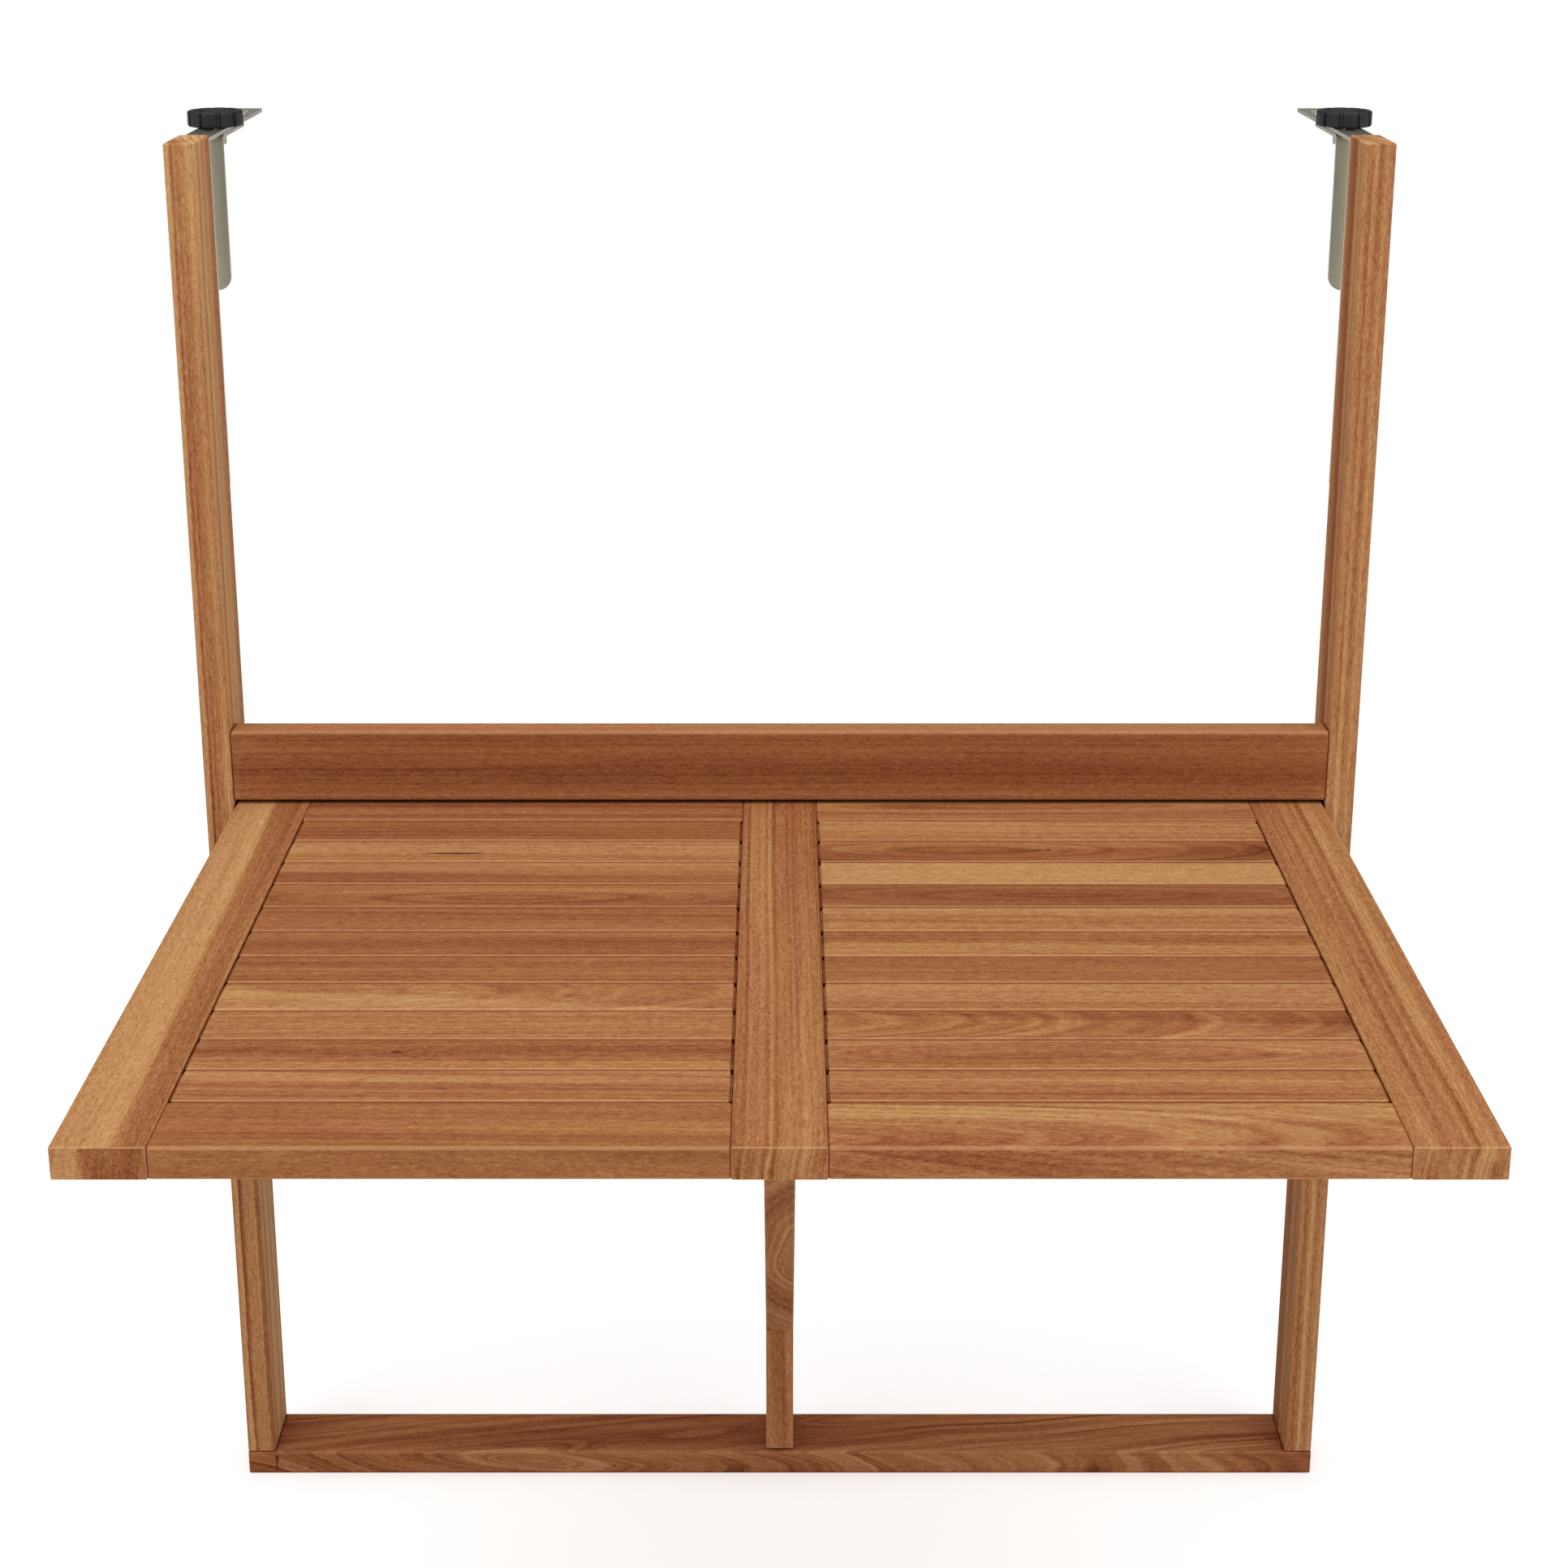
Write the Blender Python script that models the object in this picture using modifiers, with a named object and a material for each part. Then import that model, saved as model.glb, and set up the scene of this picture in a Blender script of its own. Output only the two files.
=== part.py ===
"""Folding balcony table that hooks over a railing.

A slatted top turns on two bolts between two uprights. A gate leg holds it level, and swings away
so that the top can drop into the frame. Two steel hooks with sliding jaws grip the railing.

Lengths are in metres. The origin is the railing's place: midway between the hooks, on the rear
faces of the hook strips, at the underside of the hook bars. The front edge of the top is at -Y.
"""
import math

import bmesh
import bpy
from mathutils import Matrix, Vector

# Clearances
SEAT_GAP = 0.0003
SIDE_GAP = 0.0015
CROSSBAR_GAP = 0.0020
FOLDED_INSET = 0.0005
FOLDED_CLEARANCE = 0.0085
FOLDED_DROP = 0.0030
GATE_GAP = 0.0023
POST_CLEARANCE = 0.0012
GATE_CLOSED_CLEARANCE = 0.028

# Tabletop
TOP_WIDTH = 0.600
TOP_DEPTH = 0.410
TOP_THICKNESS = 0.015
STILE_WIDTH = 0.040
END_RAIL_WIDTH = 0.040
SLAT_COUNT = 11
SLAT_GAP = 0.0010
SLAT_SHOULDER_GAP = 0.0013
SLAT_STEP_DROP = 0.0012
SLAT_STEP_INSET = 0.0020
SLAT_TENON_INSET = 0.0030
TENON_LENGTH = 0.0080
TENON_THICKNESS = 0.0050
PIVOT_INSET = 0.0075
BACK_EDGE_ROUND = 0.0035
BOARD_EDGE_ROUND = 0.0013
BOARD_END_ROUND = 0.0005
SLAT_EDGE_ROUND = 0.0011

# Frame
FRAME_HEIGHT = 0.790
UPRIGHT_THICKNESS = 0.016
CROSSBAR_THICKNESS = 0.016
CROSSBAR_HEIGHT = 0.040
REAR_RAIL_THICKNESS = 0.016
REAR_RAIL_HEIGHT = 0.040
BOTTOM_RAIL_THICKNESS = 0.015
JOINT_TENON_LENGTH = 0.0090
JOINT_TENON_THICKNESS = 0.0080
TENON_SHOULDER = 0.0060

# Gate leg
GATE_THICKNESS = 0.016
GATE_POST_DEPTH = 0.040
ARM_HEIGHT = 0.040
BRACE_WIDTH = 0.040
BRACE_FOOT_HEIGHT = 0.097
BRACE_END_MARGIN = 0.006
PIN_RADIUS = 0.0030
PIN_COLLAR_RADIUS = 0.0062
PIN_IN_RAIL = 0.0100
PIN_IN_GATE = 0.0250

# Fold bolts and washers
BOLT_RADIUS = 0.0030
BOLT_HEAD_RADIUS = 0.0058
BOLT_HEAD_SINK = 0.0004
BOLT_IN_STILE = 0.0250
BOLT_SOCKET_RADIUS = 0.0023
BOLT_SOCKET_DEPTH = 0.0020
WASHER_RADIUS = 0.0062

# Hooks
STRIP_WIDTH = 0.0153
STRIP_THICKNESS = 0.0020
BEND_RADIUS = 0.0018
HOOK_DROP = 0.0015
HOOK_LEG_LENGTH = 0.187
BAR_REACH = 0.148
SLOT_START = 0.030
SLOT_END_MARGIN = 0.0100
CORNER_ROUND = 0.0012
HOOK_SCREW_DROP = 0.030
HOOK_SCREW_MARGIN = 0.027
SCREW_RADIUS = 0.0019
SCREW_HEAD_RADIUS = 0.0036
SCREW_LENGTH = 0.0160
RECESS_REACH = 0.0021
RECESS_WIDTH = 0.0009
RECESS_DEPTH = 0.0017
RECESS_TIP_SHARE = 0.4
ROUND_END_SHARE = 0.499

# Clamps
RAILING_THICKNESS = 0.033
JAW_DROP = 0.084
JAW_REACH = 0.061
STUD_BEHIND_JAW = 0.020
STUD_RADIUS = 0.0030
STUD_IN_KNOB = 0.0050
STUD_TAIL = 0.0030
STUD_CHAMFER = 0.0005
NUT_ACROSS_FLATS = 0.0100
NUT_HEIGHT = 0.0050
NUT_CHAMFER = 0.0004
HEX_SIDES = 6
KNOB_RADIUS = 0.0150
KNOB_HEIGHT = 0.0085
KNOB_LOBES = 10
KNOB_VALLEY_DEPTH = 0.0011
KNOB_VALLEY_SHARE = 0.14
KNOB_VALLEY_FLOOR_SHARE = 0.09
KNOB_EDGE = 0.0011
KNOB_RIM_WIDTH = 0.0026
KNOB_RIM_VALLEY_SHARE = 0.3
KNOB_DISH_DEPTH = 0.0015

# How far a cutter runs past the face that it opens, and how near points have to be to merge
CUT_PAST = 0.0020
MERGE_DISTANCE = 0.00001

# Round pieces and rounded edges
ROUND_STEPS = 28
BEND_STEPS = 5
END_STEPS = 8
CORNER_STEPS = 3
BACK_EDGE_STEPS = 4
EDGE_STEPS = 2
SHARP_ANGLE = math.radians(35)
BOX_CORNER_ANGLE = math.radians(60)
BRACE_CORNER_ANGLE = math.radians(30)
FLAT_ANGLE = math.radians(0.5)

# Places that follow from the sizes above, from the frame's front plane and base
FRAME_DEPTH = FOLDED_INSET + TOP_THICKNESS + FOLDED_CLEARANCE + GATE_THICKNESS
INNER_HALF = TOP_WIDTH / 2 + SIDE_GAP
OUTER_HALF = INNER_HALF + UPRIGHT_THICKNESS
UPRIGHT_CENTRE = INNER_HALF + UPRIGHT_THICKNESS / 2
PIVOT_BEHIND = FOLDED_INSET + TOP_THICKNESS / 2
PIVOT_ABOVE = BOTTOM_RAIL_THICKNESS + FOLDED_DROP + TOP_DEPTH - PIVOT_INSET
TOP_ABOVE = PIVOT_ABOVE + TOP_THICKNESS / 2
TOP_UNDER = PIVOT_ABOVE - TOP_THICKNESS / 2
TOP_BACK = PIVOT_BEHIND + PIVOT_INSET
TOP_FRONT = TOP_BACK - TOP_DEPTH
CROSSBAR_ABOVE = TOP_ABOVE + CROSSBAR_GAP
GATE_AXIS_BEHIND = FRAME_DEPTH - GATE_THICKNESS / 2
GATE_FOOT = BOTTOM_RAIL_THICKNESS + GATE_GAP
ARM_HEAD = TOP_UNDER - SEAT_GAP
POST_HEAD = TOP_UNDER - POST_CLEARANCE
GATE_POST_FRONT = FRAME_DEPTH - GATE_POST_DEPTH
REAR_RAIL_ABOVE = POST_HEAD + GATE_GAP
ARM_UNDER = ARM_HEAD - ARM_HEIGHT
ARM_FRONT = GATE_AXIS_BEHIND - (INNER_HALF - GATE_CLOSED_CLEARANCE)
STUD_Y = RAILING_THICKNESS + STUD_BEHIND_JAW
SEAT_ABOVE = FRAME_HEIGHT - HOOK_DROP - STRIP_THICKNESS

# Where the front plane and the base lie from the origin
FRONT_Y = -(FRAME_DEPTH + SEAT_GAP + STRIP_THICKNESS)
BASE_Z = -SEAT_ABOVE

X_AXIS = Vector((1, 0, 0))
Y_AXIS = Vector((0, 1, 0))
Z_AXIS = Vector((0, 0, 1))
SIDES = (("left", -1), ("right", 1))


def srgb(red, green, blue):
    """Linear colour from 0-255 values."""
    def linear(value):
        value /= 255
        return value / 12.92 if value <= 0.04045 else ((value + 0.055) / 1.055) ** 2.4
    return (linear(red), linear(green), linear(blue), 1)


WOOD_LIGHT = srgb(190, 138, 92)
WOOD_DARK = srgb(146, 90, 54)
STEEL = srgb(168, 166, 152)
KNOB_BLACK = srgb(42, 42, 46)

# Each board's tone, from 0 for the dark wood to 1 for the light wood
UPRIGHT_TONE = 0.6
BOTTOM_RAIL_TONE = 0.1
BAR_TONE = 0.25
LEFT_STILE_TONE = 0.75
CENTRE_STILE_TONE = 0.5
RIGHT_STILE_TONE = 0.45
END_RAIL_TONE = 0.35
SLAT_TONES = (0.3, 0.9)
GATE_POST_TONE = 0.5
GATE_ARM_TONE = 0.4
GATE_BRACE_TONE = 0.3


def place(x, behind, above):
    """World point from the centre, the frame's front plane and the frame's base."""
    return Vector((x, FRONT_Y + behind, BASE_Z + above))


def clear_scene():
    for old in list(bpy.data.objects):
        bpy.data.objects.remove(old)


def make_collection(name):
    collection = bpy.data.collections.new(name)
    bpy.context.scene.collection.children.link(collection)
    return collection


def make_material(name, colour, roughness, metallic):
    material = bpy.data.materials.new(name)
    material.use_nodes = True
    shader = material.node_tree.nodes["Principled BSDF"]
    shader.inputs["Base Color"].default_value = colour
    shader.inputs["Roughness"].default_value = roughness
    shader.inputs["Metallic"].default_value = metallic
    material.diffuse_color = colour
    return material


def wood(name, tone):
    """Oiled hardwood between the dark and the light tone."""
    colour = [dark + tone * (light - dark) for dark, light in zip(WOOD_DARK, WOOD_LIGHT)]
    return make_material(name, colour, 0.55, 0)


def steel(name):
    return make_material(name, STEEL, 0.35, 1)


def plastic(name):
    return make_material(name, KNOB_BLACK, 0.5, 0)


def add_object(name, mesh, location, parent, material=None, collection=None):
    """An object at a world place, under its body's empty."""
    thing = bpy.data.objects.new(name, mesh)
    (collection or parts).objects.link(thing)
    thing.parent = parent
    thing.location = location - parent.matrix_world.translation
    if material:
        mesh.materials.append(material)
    bpy.context.view_layer.update()
    return thing


def add_axis(name, location, parent=None):
    """An empty that stands for a body, on that body's joint axis."""
    axis = bpy.data.objects.new(name, None)
    axis.empty_display_size = 0.03
    parts.objects.link(axis)
    axis.parent = parent
    axis.location = location - (parent.matrix_world.translation if parent else Vector())
    bpy.context.view_layer.update()
    return axis


def finish_mesh(bm, name):
    mesh = bpy.data.meshes.new(name)
    bmesh.ops.recalc_face_normals(bm, faces=bm.faces)
    bm.to_mesh(mesh)
    bm.free()
    mesh.shade_smooth()
    mesh.set_sharp_from_angle(angle=SHARP_ANGLE)
    return mesh


def round_edges(bm, edges, radius, segments):
    bmesh.ops.bevel(bm, geom=edges, offset=radius, segments=segments, profile=0.5, affect="EDGES")


def corner_edges(bm):
    """Edges where two faces meet at a corner."""
    return [edge for edge in bm.edges if edge.calc_face_angle(0) > BOX_CORNER_ANGLE]


def long_edges(bm, size):
    """Corner edges that run the whole length of a board."""
    axis = max(range(3), key=lambda i: size[i])
    return [
        edge
        for edge in corner_edges(bm)
        if abs(edge.verts[0].co[axis] - edge.verts[1].co[axis]) > size[axis] / 2
    ]


def grow_tenon(bm, direction, length, section):
    """Stands a tenon on the end face that looks along the direction.

    The section is the tenon's size along X, Y and Z; its value along the direction isn't used.
    The end face's rounded corners draw together into the tenon's sharp ones.
    """
    end = max(bm.faces, key=lambda face: face.normal.dot(direction) * face.calc_area())
    shoulder = bmesh.ops.extrude_discrete_faces(bm, faces=[end])["faces"][0]
    roots = list(shoulder.verts)
    for vertex in roots:
        for axis in range(3):
            if abs(direction[axis]) < 0.5:
                vertex.co[axis] = math.copysign(section[axis] / 2, vertex.co[axis])
    tip = bmesh.ops.extrude_discrete_faces(bm, faces=[shoulder])["faces"][0]
    bmesh.ops.translate(bm, vec=direction * length, verts=tip.verts)
    bmesh.ops.remove_doubles(bm, verts=roots + list(tip.verts), dist=MERGE_DISTANCE)


def board(name, parent, material, x, behind, above, edge_round, tenons=(), back_round=None):
    """A planed board between two places on each axis, with rounded edges and any tenons.

    edge_round is for the edges along the grain; those round the ends are only eased. A tenon is
    its direction, length and section. back_round rounds the rear edges that run along X, for a
    board that turns about X.
    """
    size = Vector((x[1] - x[0], behind[1] - behind[0], above[1] - above[0]))
    centre = place(sum(x) / 2, sum(behind) / 2, sum(above) / 2)
    bm = bmesh.new()
    bmesh.ops.create_cube(bm, size=1, matrix=Matrix.Diagonal((*size, 1)))
    if back_round:
        rear = [
            edge
            for edge in bm.edges
            if all(v.co.y > 0 for v in edge.verts)
            and abs(edge.verts[0].co.x - edge.verts[1].co.x) > size.x / 2
        ]
        round_edges(bm, rear, back_round, BACK_EDGE_STEPS)
        bm.normal_update()
    if edge_round > BOARD_END_ROUND:
        round_edges(bm, long_edges(bm, size), edge_round, EDGE_STEPS)
        bm.normal_update()
    round_edges(bm, corner_edges(bm), BOARD_END_ROUND, 1)
    bm.normal_update()
    for direction, length, section in tenons:
        grow_tenon(bm, direction, length, section)
        bm.normal_update()
    return add_object(name, finish_mesh(bm, name), centre, parent, material)


def cut(target, cutter, operation="DIFFERENCE"):
    """Takes the cutter's shape out of the target, or keeps only what lies in it."""
    modifier = target.modifiers.new(cutter.name, "BOOLEAN")
    modifier.operation = operation
    modifier.solver = "EXACT"
    modifier.object = cutter


def hide_cutter(cutter):
    cutter.hide_render = True
    cutter.display_type = "WIRE"


def cut_box(target, name, x, behind, above):
    """Cuts a mortise or groove between two places on each axis."""
    size = (x[1] - x[0], behind[1] - behind[0], above[1] - above[0])
    centre = place(sum(x) / 2, sum(behind) / 2, sum(above) / 2)
    bm = bmesh.new()
    bmesh.ops.create_cube(bm, size=1, matrix=Matrix.Diagonal((*size, 1)))
    cutter = add_object(name, finish_mesh(bm, name), centre, target.parent, None, cutters)
    hide_cutter(cutter)
    cut(target, cutter)


def turned(name, profile, location, direction, parent, material=None, collection=None):
    """A turned piece: the profile's radii and heights run down its outer side.

    The piece's top looks along the direction.
    """
    mesh = bpy.data.meshes.new(name)
    mesh.from_pydata(
        [(radius, 0, height) for radius, height in profile],
        [(i, i + 1) for i in range(len(profile) - 1)],
        [],
    )
    lathe = bpy.data.objects.new(name + "_profile", mesh)
    cutters.objects.link(lathe)
    screw = lathe.modifiers.new("turn", "SCREW")
    screw.axis = "Z"
    screw.steps = ROUND_STEPS
    screw.render_steps = ROUND_STEPS
    screw.use_merge_vertices = True
    screw.merge_threshold = MERGE_DISTANCE
    solid = bpy.data.meshes.new_from_object(lathe.evaluated_get(bpy.context.evaluated_depsgraph_get()))
    bpy.data.objects.remove(lathe)
    solid.name = name
    solid.shade_smooth()
    solid.set_sharp_from_angle(angle=SHARP_ANGLE)
    piece = add_object(name, solid, location, parent, material, collection)
    piece.rotation_mode = "QUATERNION"
    piece.rotation_quaternion = direction.to_track_quat("Z", "Y")
    return piece


def cut_turned(target, name, profile, location, direction):
    """Cuts a turned shape, such as a bore or a countersink."""
    cutter = turned(name, profile, location, direction, target.parent, None, cutters)
    hide_cutter(cutter)
    cut(target, cutter)


def cut_cross(target, name, location, direction):
    """Cuts the tapered cross recess that a screwdriver fits."""
    bm = bmesh.new()
    loops = []
    for height, share in ((CUT_PAST, 1), (0, 1), (-RECESS_DEPTH, RECESS_TIP_SHARE)):
        reach = RECESS_REACH * share
        half = RECESS_WIDTH / 2 * share
        loop = []
        for quarter in range(4):
            turn = Matrix.Rotation(math.radians(90) * quarter, 2)
            for corner in ((reach, -half), (reach, half), (half, half)):
                loop.append(bm.verts.new((*(turn @ Vector(corner)), height)))
        loops.append(loop)
    for high, low in zip(loops, loops[1:]):
        for i in range(len(high)):
            bm.faces.new((high[i - 1], high[i], low[i], low[i - 1]))
    bm.faces.new(loops[0])
    bm.faces.new(loops[-1][::-1])
    cutter = add_object(name, finish_mesh(bm, name), location, target.parent, None, cutters)
    cutter.rotation_mode = "QUATERNION"
    cutter.rotation_quaternion = direction.to_track_quat("Z", "Y")
    hide_cutter(cutter)
    cut(target, cutter)


def rod(radius, top, bottom):
    """Profile of a plain cylinder."""
    return [(0, top), (radius, top), (radius, bottom), (0, bottom)]


def grown(profile, gap):
    """Profile of the hole for a turned piece, wider by the gap and open past its top."""
    mouth = profile[0][1] + CUT_PAST
    return [(0, mouth), (profile[1][0] + gap, mouth)] + [
        (radius + gap if radius else 0, height - (gap if index >= len(profile) - 2 else 0))
        for index, (radius, height) in enumerate(profile)
        if index > 0
    ]


def build_frame(root):
    """Uprights, bottom rail, crossbar and rear rail, joined by blind tenons."""
    tenon_section = Vector((JOINT_TENON_THICKNESS, FRAME_DEPTH - 2 * TENON_SHOULDER, 0))
    rail = board(
        "bottom_rail", root, wood("bottom_rail_wood", BOTTOM_RAIL_TONE),
        (-OUTER_HALF, OUTER_HALF), (0, FRAME_DEPTH), (0, BOTTOM_RAIL_THICKNESS), BOARD_EDGE_ROUND,
    )
    bars = (
        ("crossbar", 0, CROSSBAR_THICKNESS, CROSSBAR_ABOVE, CROSSBAR_HEIGHT),
        ("rear_rail", FRAME_DEPTH - REAR_RAIL_THICKNESS, REAR_RAIL_THICKNESS, REAR_RAIL_ABOVE,
         REAR_RAIL_HEIGHT),
    )
    made = {}
    for name, behind, thickness, above, height in bars:
        section = Vector((0, JOINT_TENON_THICKNESS, height - 2 * TENON_SHOULDER))
        ends = [(X_AXIS, JOINT_TENON_LENGTH, section), (-X_AXIS, JOINT_TENON_LENGTH, section)]
        half = INNER_HALF - SEAT_GAP
        made[name] = board(
            name, root, wood(name + "_wood", BAR_TONE), (-half, half), (behind, behind + thickness),
            (above, above + height), BOARD_EDGE_ROUND, ends,
        )
    for side, sign in SIDES:
        upright = board(
            side + "_upright", root, wood(side + "_upright_wood", UPRIGHT_TONE),
            (sign * UPRIGHT_CENTRE - UPRIGHT_THICKNESS / 2, sign * UPRIGHT_CENTRE + UPRIGHT_THICKNESS / 2),
            (0, FRAME_DEPTH), (BOTTOM_RAIL_THICKNESS + SEAT_GAP, FRAME_HEIGHT), BOARD_EDGE_ROUND,
            [(-Z_AXIS, JOINT_TENON_LENGTH, tenon_section)],
        )
        cut_foot_mortise(rail, side, sign)
        for name, behind, thickness, above, height in bars:
            cut_bar_mortise(upright, name, sign, behind + thickness / 2, above + height / 2, height)
    pin = pin_profile()
    cut_turned(rail, "lower_pin_hole", rod(PIN_RADIUS + SEAT_GAP, CUT_PAST, -PIN_IN_RAIL - SEAT_GAP),
               place(0, GATE_AXIS_BEHIND, BOTTOM_RAIL_THICKNESS), Z_AXIS)
    cut_turned(made["rear_rail"], "upper_pin_hole",
               rod(PIN_RADIUS + SEAT_GAP, CUT_PAST, -PIN_IN_RAIL - SEAT_GAP),
               place(0, GATE_AXIS_BEHIND, REAR_RAIL_ABOVE), -Z_AXIS)
    turned("gate_lower_pin", pin, place(0, GATE_AXIS_BEHIND, BOTTOM_RAIL_THICKNESS), Z_AXIS, root,
           steel("gate_lower_pin_steel"))
    turned("gate_upper_pin", pin, place(0, GATE_AXIS_BEHIND, REAR_RAIL_ABOVE), -Z_AXIS, root,
           steel("gate_upper_pin_steel"))


def pin_profile():
    """Pivot pin with a collar; height 0 is the face of the rail that holds it."""
    collar_top = GATE_GAP - SEAT_GAP
    return [
        (0, GATE_GAP + PIN_IN_GATE),
        (PIN_RADIUS, GATE_GAP + PIN_IN_GATE),
        (PIN_RADIUS, collar_top),
        (PIN_COLLAR_RADIUS, collar_top),
        (PIN_COLLAR_RADIUS, SEAT_GAP),
        (PIN_RADIUS, SEAT_GAP),
        (PIN_RADIUS, -PIN_IN_RAIL),
        (0, -PIN_IN_RAIL),
    ]


def cut_foot_mortise(rail, side, sign):
    """Mortise in the bottom rail for an upright's foot tenon."""
    half = JOINT_TENON_THICKNESS / 2 + SEAT_GAP
    depth = JOINT_TENON_LENGTH - SEAT_GAP
    cut_box(
        rail, side + "_foot_mortise",
        (sign * UPRIGHT_CENTRE - half, sign * UPRIGHT_CENTRE + half),
        (TENON_SHOULDER - SEAT_GAP, FRAME_DEPTH - TENON_SHOULDER + SEAT_GAP),
        (BOTTOM_RAIL_THICKNESS - depth - SEAT_GAP, BOTTOM_RAIL_THICKNESS + CUT_PAST),
    )


def cut_bar_mortise(upright, bar_name, sign, behind, above, height):
    """Mortise in an upright for the end tenon of a bar."""
    half_thickness = JOINT_TENON_THICKNESS / 2 + SEAT_GAP
    half_height = height / 2 - TENON_SHOULDER + SEAT_GAP
    near = sign * (INNER_HALF - CUT_PAST)
    far = sign * (INNER_HALF + JOINT_TENON_LENGTH)
    cut_box(
        upright, upright.name + "_" + bar_name + "_mortise",
        (min(near, far), max(near, far)), (behind - half_thickness, behind + half_thickness),
        (above - half_height, above + half_height),
    )


def build_top(body):
    """Three stiles, four end rails and two panels of slats, with stub tenons in stopped grooves."""
    panel_inner = STILE_WIDTH / 2
    panel_outer = TOP_WIDTH / 2 - STILE_WIDTH
    span = (TOP_UNDER, TOP_ABOVE)
    stiles = (
        ("left_stile", -TOP_WIDTH / 2, -panel_outer, LEFT_STILE_TONE),
        ("centre_stile", -panel_inner, panel_inner, CENTRE_STILE_TONE),
        ("right_stile", panel_outer, TOP_WIDTH / 2, RIGHT_STILE_TONE),
    )
    for name, start, stop, tone in stiles:
        stile = board(name, body, wood(name + "_wood", tone), (start, stop), (TOP_FRONT, TOP_BACK), span,
                      BOARD_END_ROUND, (), BACK_EDGE_ROUND)
        if name != "left_stile":
            cut_groove(stile, name + "_left_groove", start, 1)
        if name != "right_stile":
            cut_groove(stile, name + "_right_groove", stop, -1)
    for side, sign in SIDES:
        build_panel(body, side, sign, panel_inner, panel_outer, span)


def cut_groove(stile, name, edge, inwards):
    """Stopped groove in a stile's edge for the tenons of the rails and slats."""
    depth = TENON_LENGTH - SLAT_SHOULDER_GAP + SEAT_GAP
    near = edge - inwards * CUT_PAST
    far = edge + inwards * depth
    middle = PIVOT_ABOVE
    half = TENON_THICKNESS / 2 + SEAT_GAP
    cut_box(
        stile, name, (min(near, far), max(near, far)),
        (TOP_FRONT + TENON_SHOULDER - SEAT_GAP, TOP_BACK - TENON_SHOULDER + SEAT_GAP),
        (middle - half, middle + half),
    )


def build_panel(body, side, sign, inner, outer, span):
    """One half of the top: front rail, slats and back rail between two stiles."""
    def across(gap):
        ends = (sign * (inner + gap), sign * (outer - gap))
        return (min(ends), max(ends))

    rail_tenon = TENON_LENGTH - SLAT_SHOULDER_GAP - SEAT_GAP
    rail_section = Vector((0, END_RAIL_WIDTH - 2 * TENON_SHOULDER, TENON_THICKNESS))
    rail_ends = [(direction, rail_tenon, rail_section) for direction in (X_AXIS, -X_AXIS)]
    rails = (("front", TOP_FRONT, None), ("back", TOP_BACK - END_RAIL_WIDTH, BACK_EDGE_ROUND))
    for end, behind, back_round in rails:
        name = end + "_" + side + "_rail"
        board(name, body, wood(name + "_wood", END_RAIL_TONE), across(SEAT_GAP),
              (behind, behind + END_RAIL_WIDTH), span, BOARD_EDGE_ROUND, rail_ends, back_round)

    room = TOP_DEPTH - 2 * END_RAIL_WIDTH - (SLAT_COUNT + 1) * SLAT_GAP
    slat_width = room / SLAT_COUNT
    step = Vector((0, slat_width - 2 * SLAT_STEP_INSET, TOP_THICKNESS - 2 * SLAT_STEP_DROP))
    tenon = Vector((0, slat_width - 2 * SLAT_TENON_INSET, TENON_THICKNESS))
    step_length = SLAT_SHOULDER_GAP - SEAT_GAP
    ends = [
        (direction, length, section)
        for direction in (X_AXIS, -X_AXIS)
        for length, section in ((step_length, step), (TENON_LENGTH - step_length, tenon))
    ]
    for index in range(SLAT_COUNT):
        behind = TOP_FRONT + END_RAIL_WIDTH + SLAT_GAP + index * (slat_width + SLAT_GAP)
        name = "%s_slat_%02d" % (side, index + 1)
        board(name, body, wood(name + "_wood", slat_tone(index, sign)), across(SLAT_SHOULDER_GAP),
              (behind, behind + slat_width), span, SLAT_EDGE_ROUND, ends)


def slat_tone(index, sign):
    """A tone that jumps from slat to slat, in another order in each panel."""
    low, high = SLAT_TONES
    stride = 7
    start = 4 if sign > 0 else 0
    return low + (high - low) * ((start + stride * index) % SLAT_COUNT) / (SLAT_COUNT - 1)


def build_gate(body):
    """Gate leg: a post on two pins, an arm under the top and a diagonal brace."""
    half = GATE_THICKNESS / 2
    post = board("gate_post", body, wood("gate_post_wood", GATE_POST_TONE), (-half, half),
                 (GATE_POST_FRONT, FRAME_DEPTH), (GATE_FOOT, POST_HEAD), BOARD_EDGE_ROUND)
    section = Vector((JOINT_TENON_THICKNESS, 0, ARM_HEIGHT - 2 * TENON_SHOULDER))
    board("gate_arm", body, wood("gate_arm_wood", GATE_ARM_TONE), (-half, half),
          (ARM_FRONT, GATE_POST_FRONT - SEAT_GAP), (ARM_UNDER, ARM_HEAD), BOARD_EDGE_ROUND,
          [(Y_AXIS, JOINT_TENON_LENGTH, section)])
    tenon_half = JOINT_TENON_THICKNESS / 2 + SEAT_GAP
    cut_box(post, "arm_mortise", (-tenon_half, tenon_half),
            (GATE_POST_FRONT - CUT_PAST, GATE_POST_FRONT + JOINT_TENON_LENGTH),
            (ARM_UNDER + TENON_SHOULDER - SEAT_GAP, ARM_HEAD - TENON_SHOULDER + SEAT_GAP))
    bore = rod(PIN_RADIUS + SEAT_GAP, CUT_PAST, -PIN_IN_GATE - SEAT_GAP)
    cut_turned(post, "post_lower_bore", bore, place(0, GATE_AXIS_BEHIND, GATE_FOOT), -Z_AXIS)
    cut_turned(post, "post_upper_bore", bore, place(0, GATE_AXIS_BEHIND, POST_HEAD), Z_AXIS)
    build_brace(body)


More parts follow.
